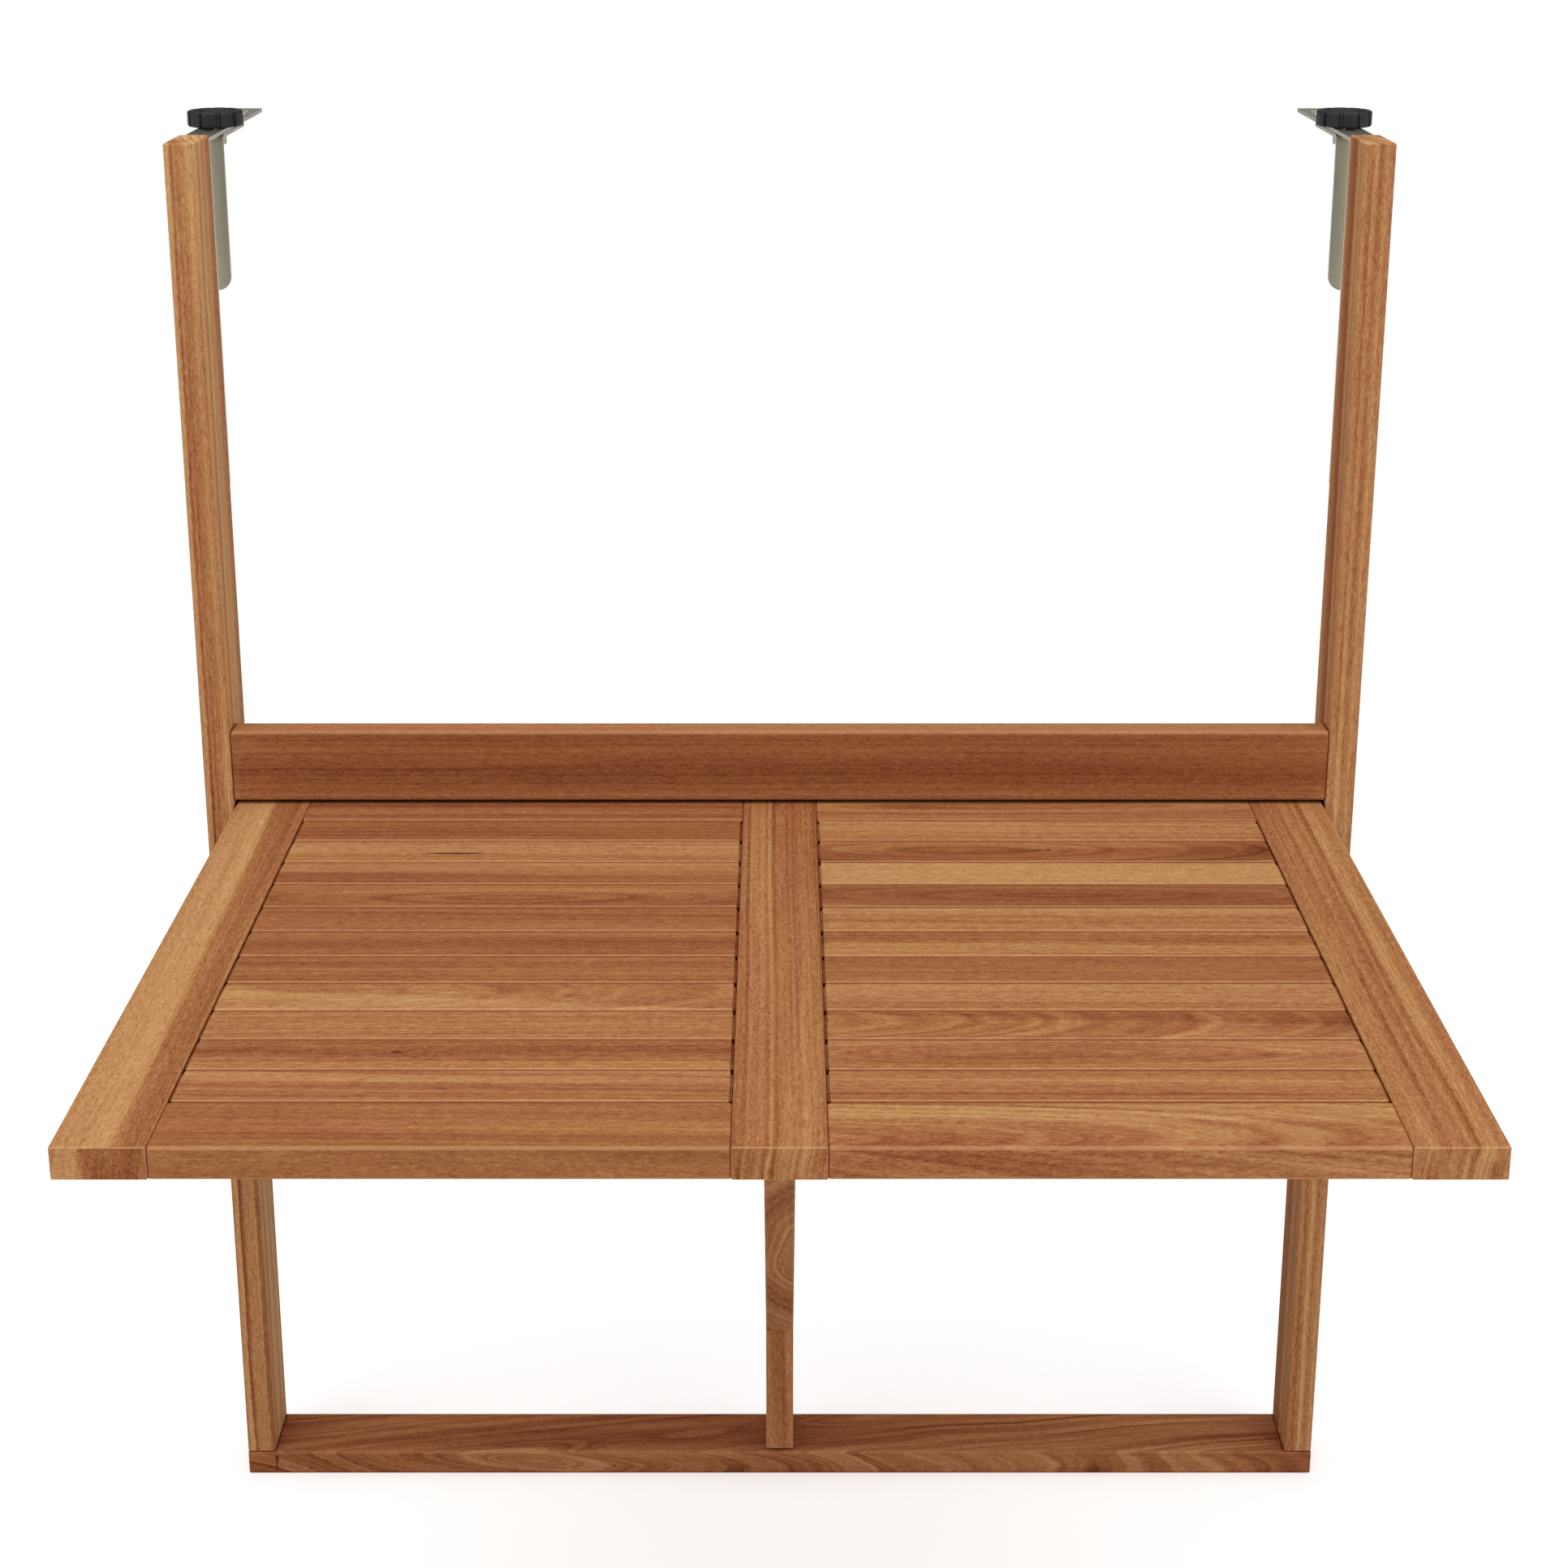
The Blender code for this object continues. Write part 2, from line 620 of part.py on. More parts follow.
def build_brace(body):
    """Diagonal brace, cut to butt against the post's front face and the arm's underside."""
    foot = Vector((GATE_POST_FRONT, BRACE_FOOT_HEIGHT))
    head = Vector((ARM_FRONT + BRACE_END_MARGIN, ARM_UNDER))
    slope = (head - foot).normalized()
    across_post = BRACE_WIDTH / -slope.x
    across_arm = BRACE_WIDTH / slope.y
    rise = slope.y / -slope.x
    corners = (
        (foot.x - SEAT_GAP, foot.y + SEAT_GAP * rise),
        (foot.x - SEAT_GAP, foot.y + SEAT_GAP * rise + across_post),
        (head.x + SEAT_GAP / rise + across_arm, head.y - SEAT_GAP),
        (head.x + SEAT_GAP / rise, head.y - SEAT_GAP),
    )
    outline = bpy.data.curves.new("gate_brace", "CURVE")
    outline.dimensions = "2D"
    outline.fill_mode = "BOTH"
    outline.extrude = GATE_THICKNESS / 2
    spline = outline.splines.new("POLY")
    spline.points.add(len(corners) - 1)
    for point, (behind, above) in zip(spline.points, corners):
        point.co = (behind, above, 0, 1)
    spline.use_cyclic_u = True
    guide = bpy.data.objects.new("gate_brace_outline", outline)
    cutters.objects.link(guide)
    mesh = bpy.data.meshes.new_from_object(guide.evaluated_get(bpy.context.evaluated_depsgraph_get()))
    bpy.data.objects.remove(guide)
    bm = bmesh.new()
    bm.from_mesh(mesh)
    bpy.data.meshes.remove(mesh)
    bmesh.ops.remove_doubles(bm, verts=bm.verts, dist=MERGE_DISTANCE)
    bmesh.ops.dissolve_limit(bm, angle_limit=FLAT_ANGLE, verts=bm.verts, edges=bm.edges)
    upright_plane = Matrix(((0, 0, 1, 0), (1, 0, 0, 0), (0, 1, 0, 0), (0, 0, 0, 1)))
    bmesh.ops.transform(bm, matrix=upright_plane, verts=bm.verts)
    sharp = [edge for edge in bm.edges if edge.calc_face_angle(0) > BRACE_CORNER_ANGLE]
    round_edges(bm, sharp, BOARD_EDGE_ROUND, EDGE_STEPS)
    add_object("gate_brace", finish_mesh(bm, "gate_brace"), place(0, 0, 0), body,
               wood("gate_brace_wood", GATE_BRACE_TONE))


def build_fold_bolts(root, frame_uprights, stiles):
    """Countersunk bolts that the top turns on, each through an upright into an outer stile."""
    length = UPRIGHT_THICKNESS + SIDE_GAP + BOLT_IN_STILE
    head_depth = BOLT_HEAD_RADIUS - BOLT_RADIUS
    bolt = [
        (0, 0),
        (BOLT_HEAD_RADIUS, 0),
        (BOLT_RADIUS, -head_depth),
        (BOLT_RADIUS, BOLT_HEAD_SINK - length),
        (0, BOLT_HEAD_SINK - length),
    ]
    washer_inner = BOLT_RADIUS + SEAT_GAP
    washer_top = SIDE_GAP - SEAT_GAP
    washer = [
        (washer_inner, washer_top),
        (WASHER_RADIUS, washer_top),
        (WASHER_RADIUS, SEAT_GAP),
        (washer_inner, SEAT_GAP),
        (washer_inner, washer_top),
    ]
    for side, sign in SIDES:
        outwards = X_AXIS * sign
        head = place(sign * (OUTER_HALF - BOLT_HEAD_SINK), PIVOT_BEHIND, PIVOT_ABOVE)
        piece = turned(side + "_fold_bolt", bolt, head, outwards, root, steel(side + "_fold_bolt_steel"))
        socket = bmesh.new()
        bmesh.ops.create_cone(
            socket, cap_ends=True, segments=HEX_SIDES, radius1=BOLT_SOCKET_RADIUS,
            radius2=BOLT_SOCKET_RADIUS, depth=2 * BOLT_SOCKET_DEPTH,
            matrix=Matrix.Rotation(math.radians(90), 4, "Y"),
        )
        socket_name = side + "_bolt_socket"
        cutter = add_object(socket_name, finish_mesh(socket, socket_name), head, root, None, cutters)
        hide_cutter(cutter)
        cut(piece, cutter)
        hole = grown(bolt, SEAT_GAP)
        cut_turned(frame_uprights[side], side + "_upright_bolt_hole", hole, head, outwards)
        cut_turned(stiles[side], side + "_stile_bolt_bore", hole, head, outwards)
        turned(side + "_fold_washer", washer, place(sign * TOP_WIDTH / 2, PIVOT_BEHIND, PIVOT_ABOVE),
               outwards, root, steel(side + "_fold_washer_steel"))


def bend_strip(name, parent, material, start, corner, stop, x, end_round):
    """A flat strip bent once at a right angle.

    The strip's middle surface runs up from start to the corner, then back to stop; each is a
    pair of Y and Z. end_round rounds the corners of the lower end and of the rear end.
    """
    radius = BEND_RADIUS + STRIP_THICKNESS / 2
    centre = Vector((corner[0] + radius, corner[1] - radius))
    line = [start]
    for step in range(BEND_STEPS + 1):
        angle = math.pi - math.pi / 2 * step / BEND_STEPS
        line.append((centre.x + radius * math.cos(angle), centre.y + radius * math.sin(angle)))
    line.append(stop)
    bm = bmesh.new()
    left = [bm.verts.new((-STRIP_WIDTH / 2, y, z)) for y, z in line]
    edges = [bm.edges.new(pair) for pair in zip(left, left[1:])]
    wide = bmesh.ops.extrude_edge_only(bm, edges=edges)["geom"]
    moved = [item for item in wide if isinstance(item, bmesh.types.BMVert)]
    bmesh.ops.translate(bm, vec=X_AXIS * STRIP_WIDTH, verts=moved)
    for target, amount in ((start, end_round[0]), (stop, end_round[1])):
        tips = [v for v in bm.verts if (v.co.yz - Vector(target)).length < MERGE_DISTANCE]
        steps = END_STEPS if amount > CORNER_ROUND else CORNER_STEPS
        bmesh.ops.bevel(bm, geom=tips, offset=amount, segments=steps, profile=0.5, affect="VERTICES")
    strip = add_object(name, finish_mesh(bm, name), Vector((x, 0, 0)), parent, material)
    solidify = strip.modifiers.new("thickness", "SOLIDIFY")
    solidify.thickness = STRIP_THICKNESS
    solidify.offset = 0
    solidify.use_even_offset = True
    return strip


def build_hook(root, side, sign, upright):
    """Hook bracket: a leg down the upright's rear and a slotted bar over the railing."""
    x = sign * UPRIGHT_CENTRE
    middle = STRIP_THICKNESS / 2
    hook = bend_strip(
        side + "_hook_bracket", root, steel(side + "_hook_steel"), (-middle, -HOOK_LEG_LENGTH),
        (-middle, middle), (BAR_REACH, middle), x, (CORNER_ROUND, CORNER_ROUND),
    )
    slot_radius = STUD_RADIUS + SEAT_GAP
    slot_stop = BAR_REACH - SLOT_END_MARGIN
    bm = bmesh.new()
    bmesh.ops.create_circle(bm, cap_ends=True, segments=ROUND_STEPS, radius=slot_radius)
    stretch = (slot_stop - SLOT_START) / 2 - slot_radius
    for vertex in bm.verts:
        vertex.co.y += math.copysign(stretch, vertex.co.y)
    raised = bmesh.ops.extrude_face_region(bm, geom=bm.faces[:])["geom"]
    top = [item for item in raised if isinstance(item, bmesh.types.BMVert)]
    bmesh.ops.translate(bm, vec=Z_AXIS * 3 * STRIP_THICKNESS, verts=top)
    slot = add_object(side + "_bar_slot", finish_mesh(bm, side + "_bar_slot"),
                      Vector((x, (SLOT_START + slot_stop) / 2, -STRIP_THICKNESS)), root, None, cutters)
    hide_cutter(slot)
    cut(hook, slot)
    screw = [
        (0, 0),
        (SCREW_HEAD_RADIUS, 0),
        (SCREW_RADIUS, SCREW_RADIUS - SCREW_HEAD_RADIUS),
        (SCREW_RADIUS, -SCREW_LENGTH),
        (0, -SCREW_LENGTH),
    ]
    hole = grown(screw, SEAT_GAP)
    for number, drop in enumerate((HOOK_SCREW_DROP, HOOK_LEG_LENGTH - HOOK_SCREW_MARGIN), 1):
        name = "%s_hook_screw_%d" % (side, number)
        head = Vector((x, -SEAT_GAP, -drop))
        piece = turned(name, screw, head, Y_AXIS, root, steel(name + "_steel"))
        cut_cross(piece, name + "_recess", head, Y_AXIS)
        cut_turned(hook, name + "_strip_hole", hole, head, Y_AXIS)
        cut_turned(upright, name + "_pilot", hole, head, Y_AXIS)


def build_clamp(slider, turner, side, sign):
    """Sliding jaw with its nut, and the knob with its stud."""
    x = sign * UPRIGHT_CENTRE
    leg = RAILING_THICKNESS + STRIP_THICKNESS / 2
    shelf = -SEAT_GAP - STRIP_THICKNESS / 2
    jaw = bend_strip(
        side + "_jaw", slider, steel(side + "_jaw_steel"), (leg, shelf - JAW_DROP), (leg, shelf),
        (RAILING_THICKNESS + JAW_REACH, shelf), x, (STRIP_WIDTH * ROUND_END_SHARE, CORNER_ROUND),
    )
    axis = Vector((x, STUD_Y, 0))
    bore = rod(STUD_RADIUS + SEAT_GAP, STRIP_THICKNESS, -3 * STRIP_THICKNESS)
    cut_turned(jaw, side + "_jaw_hole", bore, axis, Z_AXIS)

    nut_top = shelf - STRIP_THICKNESS / 2 - SEAT_GAP
    flat = NUT_ACROSS_FLATS / 2
    corner = flat / math.cos(math.pi / HEX_SIDES)
    bm = bmesh.new()
    bmesh.ops.create_cone(
        bm, cap_ends=True, segments=HEX_SIDES, radius1=corner, radius2=corner, depth=NUT_HEIGHT,
    )
    nut_middle = axis + Z_AXIS * (nut_top - NUT_HEIGHT / 2)
    nut = add_object(side + "_clamp_nut", finish_mesh(bm, side + "_clamp_nut"), nut_middle, slider,
                     steel(side + "_nut_steel"))
    rim = corner - flat
    above = NUT_HEIGHT / 2 + NUT_CHAMFER
    below = NUT_HEIGHT / 2 - 2 * NUT_CHAMFER
    barrel = [(0, above), (flat - rim, above), (corner + rim, below), (corner + rim, -below),
              (flat - rim, -above), (0, -above)]
    chamfer = turned(side + "_nut_chamfer", barrel, nut_middle, Z_AXIS, slider, None, cutters)
    hide_cutter(chamfer)
    cut(nut, chamfer, "INTERSECT")
    nut_bore = rod(STUD_RADIUS + SEAT_GAP, NUT_HEIGHT, -NUT_HEIGHT)
    cut_turned(nut, side + "_nut_bore", nut_bore, nut_middle, Z_AXIS)

    knob_base = STRIP_THICKNESS + SEAT_GAP
    stud_top = knob_base + STUD_IN_KNOB
    stud_foot = nut_top - NUT_HEIGHT - STUD_TAIL
    stud = [
        (0, stud_top),
        (STUD_RADIUS, stud_top),
        (STUD_RADIUS, stud_foot + STUD_CHAMFER),
        (STUD_RADIUS - STUD_CHAMFER, stud_foot),
        (0, stud_foot),
    ]
    turned(side + "_clamp_stud", stud, axis, Z_AXIS, turner, steel(side + "_stud_steel"))
    knob = add_object(side + "_knob", knob_mesh(side + "_knob"), axis + Z_AXIS * knob_base, turner,
                      plastic(side + "_knob_plastic"))
    bore = rod(STUD_RADIUS + SEAT_GAP, STUD_IN_KNOB + SEAT_GAP, -CUT_PAST)
    cut_turned(knob, side + "_knob_bore", bore, axis + Z_AXIS * knob_base, Z_AXIS)


def lobe_angles():
    """Angles round the knob: each lobe in three arcs, with the slopes down to the valleys."""
    arc = (1 - 2 * KNOB_VALLEY_SHARE) / 3
    shares = (
        KNOB_VALLEY_FLOOR_SHARE, KNOB_VALLEY_SHARE, KNOB_VALLEY_SHARE + arc, 1 - KNOB_VALLEY_SHARE - arc,
        1 - KNOB_VALLEY_SHARE, 1 - KNOB_VALLEY_FLOOR_SHARE,
    )
    pitch = 2 * math.pi / KNOB_LOBES
    return [(lobe + share) * pitch for lobe in range(KNOB_LOBES) for share in shares]


def valley(angle):
    """How far into a valley an angle lies, from 0 on a lobe to 1 on the valley's floor."""
    share = (angle * KNOB_LOBES / (2 * math.pi)) % 1
    slope = (KNOB_VALLEY_SHARE - min(share, 1 - share)) / (KNOB_VALLEY_SHARE - KNOB_VALLEY_FLOOR_SHARE)
    return min(max(slope, 0), 1)


def knob_mesh(name):
    """Lobed knob with rounded edges, a raised rim and a dished top, lofted ring by ring."""
    inner = KNOB_RADIUS - KNOB_RIM_WIDTH
    edge_sine = KNOB_EDGE * (1 - math.sin(math.radians(45)))
    rings = (
        (KNOB_RADIUS - KNOB_EDGE, 1, 0),
        (KNOB_RADIUS - edge_sine, 1, edge_sine),
        (KNOB_RADIUS, 1, KNOB_EDGE),
        (KNOB_RADIUS, 1, KNOB_HEIGHT - KNOB_EDGE),
        (KNOB_RADIUS - edge_sine, 1, KNOB_HEIGHT - edge_sine),
        (KNOB_RADIUS - KNOB_EDGE, 1, KNOB_HEIGHT),
        (inner, KNOB_RIM_VALLEY_SHARE, KNOB_HEIGHT),
        (inner - KNOB_DISH_DEPTH, 0, KNOB_HEIGHT - KNOB_DISH_DEPTH),
    )
    angles = lobe_angles()
    bm = bmesh.new()
    loops = []
    for radius, share, height in rings:
        loop = []
        for angle in angles:
            reach = radius - share * KNOB_VALLEY_DEPTH * valley(angle)
            loop.append(bm.verts.new((reach * math.cos(angle), reach * math.sin(angle), height)))
        loops.append(loop)
    for low, high in zip(loops, loops[1:]):
        for i in range(len(angles)):
            j = (i + 1) % len(angles)
            bm.faces.new((low[i], low[j], high[j], high[i]))
    bm.faces.new(loops[0][::-1])
    bm.faces.new(loops[-1])
    return finish_mesh(bm, name)


def main():
    root = add_axis("frame_body", Vector())
    fold_axis = add_axis("fold_axis", place(0, PIVOT_BEHIND, PIVOT_ABOVE), root)
    gate_axis = add_axis("gate_axis", place(0, GATE_AXIS_BEHIND, GATE_FOOT), root)
    build_frame(root)
    build_top(fold_axis)
    build_gate(gate_axis)
    uprights = {side: bpy.data.objects[side + "_upright"] for side, sign in SIDES}
    stiles = {side: bpy.data.objects[side + "_stile"] for side, sign in SIDES}
    build_fold_bolts(root, uprights, stiles)
    for side, sign in SIDES:
        build_hook(root, side, sign, uprights[side])
        stud = Vector((sign * UPRIGHT_CENTRE, STUD_Y, 0))
        slider = add_axis(side + "_clamp_slide", stud, root)
        turner = add_axis(side + "_knob_axis", stud, slider)
        build_clamp(slider, turner, side, sign)


clear_scene()
parts = make_collection("folding_balcony_table")
cutters = make_collection("cutters")
main()
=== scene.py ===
"""Looks of the folding balcony table: oiled wood, zinc-plated steel, black knobs and a pale studio.

Lengths are in metres, in the row frame: +Z up, the railing at the origin, the table's front at -Y.
"""

import math
from collections import namedtuple

import bmesh
import bpy
from mathutils import Matrix, Vector


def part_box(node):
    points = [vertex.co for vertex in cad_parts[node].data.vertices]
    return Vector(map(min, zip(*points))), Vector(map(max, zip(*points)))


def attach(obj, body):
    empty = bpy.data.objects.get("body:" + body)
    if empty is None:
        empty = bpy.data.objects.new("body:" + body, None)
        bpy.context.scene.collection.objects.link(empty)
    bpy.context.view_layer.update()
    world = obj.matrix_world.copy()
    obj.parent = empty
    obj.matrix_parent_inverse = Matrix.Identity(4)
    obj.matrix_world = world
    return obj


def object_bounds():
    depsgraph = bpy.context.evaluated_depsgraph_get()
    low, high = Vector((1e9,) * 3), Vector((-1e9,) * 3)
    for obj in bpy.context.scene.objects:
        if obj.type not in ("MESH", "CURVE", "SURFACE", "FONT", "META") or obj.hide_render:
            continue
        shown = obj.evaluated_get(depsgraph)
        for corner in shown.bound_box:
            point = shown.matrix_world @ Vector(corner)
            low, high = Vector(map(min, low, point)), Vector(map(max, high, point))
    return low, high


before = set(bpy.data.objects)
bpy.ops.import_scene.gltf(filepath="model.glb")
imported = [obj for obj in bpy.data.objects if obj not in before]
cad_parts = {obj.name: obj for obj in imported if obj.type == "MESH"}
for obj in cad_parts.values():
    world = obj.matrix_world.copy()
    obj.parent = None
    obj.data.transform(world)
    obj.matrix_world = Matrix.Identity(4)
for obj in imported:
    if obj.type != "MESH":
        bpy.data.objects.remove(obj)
cad_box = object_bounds()

X = Vector((1, 0, 0))
Y = Vector((0, 1, 0))
Z = Vector((0, 0, 1))
WHITE = (1, 1, 1, 1)

# Camera: near the photograph's view, centred on the gate leg. It has less shift than an exact fit would
# take, so that views from other sides aren't cut off
IMAGE_SIDE = 1932
SENSOR_WIDTH = 36.0
FOCAL_PIXELS = 3250.0
CAMERA_PLACE = (0, -1.4094, 0.1619)
CAMERA_PITCH = math.radians(16.50)
SIDE_SHIFT_PIXELS = 5.3
CAMERA_SHIFT = (SIDE_SHIFT_PIXELS / IMAGE_SIDE, -0.115)

# Floor: what it adds to its own light where it is looked at, and the distance over which it turns white
FLOOR_SIZE = 14.0
FLOOR_ALBEDO = (0.80, 0.80, 0.80, 1)
FLOOR_LIFT = 0.49
FLOOR_NEAR = 0.55
FLOOR_FAR = 1.6

# World: its light on the object, and what gloss mirrors of it in front, behind and where it turns
AMBIENT = 0.44
GLOSS_FRONT = 1.0
GLOSS_BEHIND = 0.30
GLOSS_TURN = (-0.3, 0.6)

# Lamps: the place, size and energy of each, and the point that all look at
LAMP_TARGET = Vector((0, -0.2, -0.45))
LAMPS = {
    "top_lamp": ((0.0, -0.3, 2.3), 3.4, 22),
    "key_lamp": ((-2.0, -1.9, 1.7), 3.2, 42),
    "fill_lamp": ((2.1, -1.8, 1.5), 3.2, 36),
}

# Wood colours from dark to light: the reddish heartwood, and the tan of its paler bands
HEARTWOOD = (
    (0.00, (80, 38, 20)),
    (0.30, (134, 75, 46)),
    (0.52, (165, 104, 67)),
    (0.76, (189, 134, 93)),
    (1.00, (206, 158, 112)),
)
PALE_WOOD = (
    (0.00, (92, 52, 26)),
    (0.30, (146, 92, 50)),
    (0.52, (172, 118, 70)),
    (0.76, (196, 147, 96)),
    (1.00, (216, 175, 126)),
)
# Pale edge colour: a painted highlight on the boards' rounded edges, and rubbed wear
WORN_AND_HIGHLIT_WOOD = (214, 162, 118)
KNOT_BROWN = (62, 30, 20)
# How pale the edges along a board and round its ends are painted, as a painted highlight on their roundings
# and as rubbed wear, by a part of the board's name. The first part that fits counts
EDGE_HIGHLIGHT_AND_WEAR = {
    "_slat_": (0.62, 0.0),
    "_stile": (0.12, 0.5),
    "_upright": (0.15, 0.15),
    "crossbar": (0.25, 0.0),
    "bottom_rail": (0.20, 0.20),
    "_rail": (0.5, 0.0),
    "gate_": (0.20, 0.20),
}
# How much tan the frame's and the gate leg's boards show, against 1 for the rest
TAN = {"_upright": 0.8, "crossbar": 0.4, "bottom_rail": 0.25, "gate_": 0.15}

# Noise: its features a metre, on each axis or along one number, its layers and how rough they make it
Noise = namedtuple("Noise", "scale layers roughness")
# Wood noise runs along the grain, across the board and through it
SLOW_DRIFT = Noise((1.9, 7, 7), 2, 0.5)
CURL = Noise((9, 17, 17), 1, 0.5)
QUIVER = Noise((120, 240, 240), 1, 0.5)
ZONES = Noise((2.4, 55, 55), 2, 0.5)
THREADS = Noise((14, 520, 520), 2, 0.6)
FIBRE = Noise((330, 1450, 1450), 2, 0.6)
RIPPLE = Noise((150, 620, 620), 1, 0.5)
VESSELS = Noise((230, 1900, 1900), 1, 0.5)
MOTTLE = Noise((150, 210, 210), 2, 0.6)
STREAK_PATCHES = Noise((3, 30, 30), 1, 0.5)
TAN_PATCHES = Noise((4, 60, 60), 2, 0.5)
KNOT_RAGS = Noise((400, 900, 900), 2, 0.5)
# These run along the distance from the tree's heart
BANDS = Noise(70, 1, 0.5)
RINGS = Noise(430, 2, 0.6)
STREAKS = Noise(230, 1, 0.4)
# Other surfaces
GLUE_BLOTCHES = Noise((300, 300, 300), 2, 0.5)
STEEL_CLOUDS = Noise((60, 60, 60), 3, 0.6)
KNOB_GRAIN = Noise((2600, 2600, 2600), 2, 0.6)
KNOB_WEAR = Noise((90, 90, 90), 3, 0.6)

# How far each part of the figure moves the tone
BAND_WEIGHT = 0.32
RING_WEIGHT = 0.36
ZONE_WEIGHT = 0.26
THREAD_WEIGHT = 0.26
FIBRE_WEIGHT = 0.60
RIPPLE_WEIGHT = 0.24
MOTTLE_WEIGHT = 0.12
STREAK_DEPTH = -0.13
PORE_DEPTH = -0.16
# Where noise becomes a streak, its patch, a pore or a tan patch
STREAK_LIMITS = (0.60, 0.72)
PATCH_LIMITS = (0.42, 0.60)
PORE_LIMITS = (0.60, 0.74)
TAN_LIMITS = (0.38, 0.62)
# The share of tan in a tan patch and in light wood, and the tones between which wood turns light
TAN_IN_PATCH = 0.5
TAN_IN_LIGHT = 0.7
LIGHT_TONES = (0.4, 0.75)
# Boards between these tones lose some of their finer grain, down to a share of it on dark ones
DARK_TONES = (0.40, 0.55)
DARK_GRIT = 0.65
# Drift: the curl's share of it, its share through the board, and what the quiver adds to grain and rings
CURL_SHARE = 0.30
THROUGH_SHARE = 0.6
QUIVER_REACH = 0.0026
RING_QUIVER = 0.0006
# How far one unit of seed moves the noise and the rings
SEED_STEP = (3.13, 1.71, 2.37)
SEED_RADIUS = 0.37
# End grain: its tone, how much stronger its figure and split show, and how far its split moves over
END_TONE = 0.01
END_FIGURE = 0.5
END_SPLIT = 0.4
END_SPLIT_SHIFT = 0.013
SPLIT_BLUR = 0.0022
# How far a face has turned to the grain's end, or an edge from both its faces, to count as one
END_TURN = (0.5, 0.9)
EDGE_TURN = (0.2, 0.5)
# Knots: the share of their size where they are darkest, how dark, and how ragged their edge is
KNOT_CORE = 0.35
KNOT_DARKNESS = 0.85
KNOT_RAGGED = 0.8
# Surface
WOOD_SHEEN = 0.03
WOOD_ROUGHNESS = (0.64, 0.76)
FIBRE_RANGE = (0.3, 0.7)
FIBRE_HEIGHT = 0.5
PORE_HEIGHT = -0.8
WOOD_BUMP = (0.35, 0.0003)

# Joints: the shade painted into the wood's colour in them and in other narrow gaps, and the glue that fills
# them
JOINT_REACH = 0.0026
JOINT_SAMPLES = 8
JOINT_OPENNESS = (0.46, 0.84)
# Painted shade: the colour that the wood is darkened towards where other surfaces lie close
PAINTED_JOINT_SHADE = (0.50, 0.20, 0.11, 1)
JOINT_GAP = 0.0003
GLUE_INSET = 0.0005
GLUE_BROWN = (150, 68, 36)
GLUE_DARK = (112, 46, 24)
GLUE_LIMITS = (0.4, 0.6)
GLUE_ROUGHNESS = 0.8

# Steel: colour, roughness and streaks of the rolled strip and of the turned fasteners
HOOK_STEEL = ((196, 191, 172), 0.32, Noise((900, 40, 40), 3, 0.6))
FASTENER_STEEL = ((176, 173, 160), 0.30, Noise((200, 200, 200), 3, 0.6))
STEEL_DARKER = 0.78
STEEL_SHADES = (0.35, 0.65)
STEEL_GLOSS_SHADES = (0.3, 0.7)
STEEL_DULLER = 0.06
STEEL_SHINIER = 0.04
STEEL_BUMP = (0.08, 0.0001)

# Plastic
KNOB_BLACK = (16, 16, 18)
KNOB_WORN_BLACK = (24, 24, 27)
KNOB_WORN = (0.4, 0.7)
KNOB_WEAR_RANGE = (0.3, 0.7)
KNOB_ROUGHNESS = (0.42, 0.55)
KNOB_SHEEN = 0.35
KNOB_BUMP = (0.18, 0.0001)


def srgb(red, green, blue):
    """Linear colour from 0-255 values."""
    def linear(value):
        value /= 255
        return value / 12.92 if value <= 0.04045 else ((value + 0.055) / 1.055) ** 2.4
    return (linear(red), linear(green), linear(blue), 1)


def add_object(name, data):
    thing = bpy.data.objects.new(name, data)
    bpy.context.scene.collection.objects.link(thing)
    return thing


def dress(node_name, material):
    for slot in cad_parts[node_name].material_slots:
        slot.material = material


# Shader node helpers

def add_node(tree, kind, inputs=None, **settings):
    """A node with its settings, and with each input set to a value or joined to a socket."""
    node = tree.nodes.new("ShaderNode" + kind)
    for name, value in settings.items():
        setattr(node, name, value)
    for key, value in (inputs or {}).items():
        if isinstance(value, bpy.types.NodeSocket):
            tree.links.new(value, node.inputs[key])
        else:
            node.inputs[key].default_value = value
    return node


def calc(tree, operation, *values):
    return add_node(tree, "Math", dict(enumerate(values)), operation=operation).outputs[0]


def vector_calc(tree, operation, *vectors):
    return add_node(tree, "VectorMath", dict(enumerate(vectors)), operation=operation).outputs[0]


def length(tree, vector):
    return add_node(tree, "VectorMath", {0: vector}, operation="LENGTH").outputs["Value"]


def parts(tree, vector):
    """The vector's X, Y and Z."""
    return add_node(tree, "SeparateXYZ", {0: vector}).outputs


def noise(tree, vector, look):
    """Noise from 0 to 1 in space."""
    inputs = {
        "Vector": vector_calc(tree, "MULTIPLY", vector, look.scale),
        "Scale": 1.0,
        "Detail": look.layers,
        "Roughness": look.roughness,
    }
    return add_node(tree, "TexNoise", inputs).outputs["Fac"]


def noise_along(tree, value, look):
    """Noise from 0 to 1 along one number, such as the distance from a tree's heart."""
    inputs = {
        "W": calc(tree, "MULTIPLY", value, look.scale),
        "Scale": 1.0,
        "Detail": look.layers,
        "Roughness": look.roughness,
    }
    return add_node(tree, "TexNoise", inputs, noise_dimensions="1D").outputs["Fac"]


def centred(tree, field):
    """Noise that lies round 0."""
    return calc(tree, "SUBTRACT", field, 0.5)


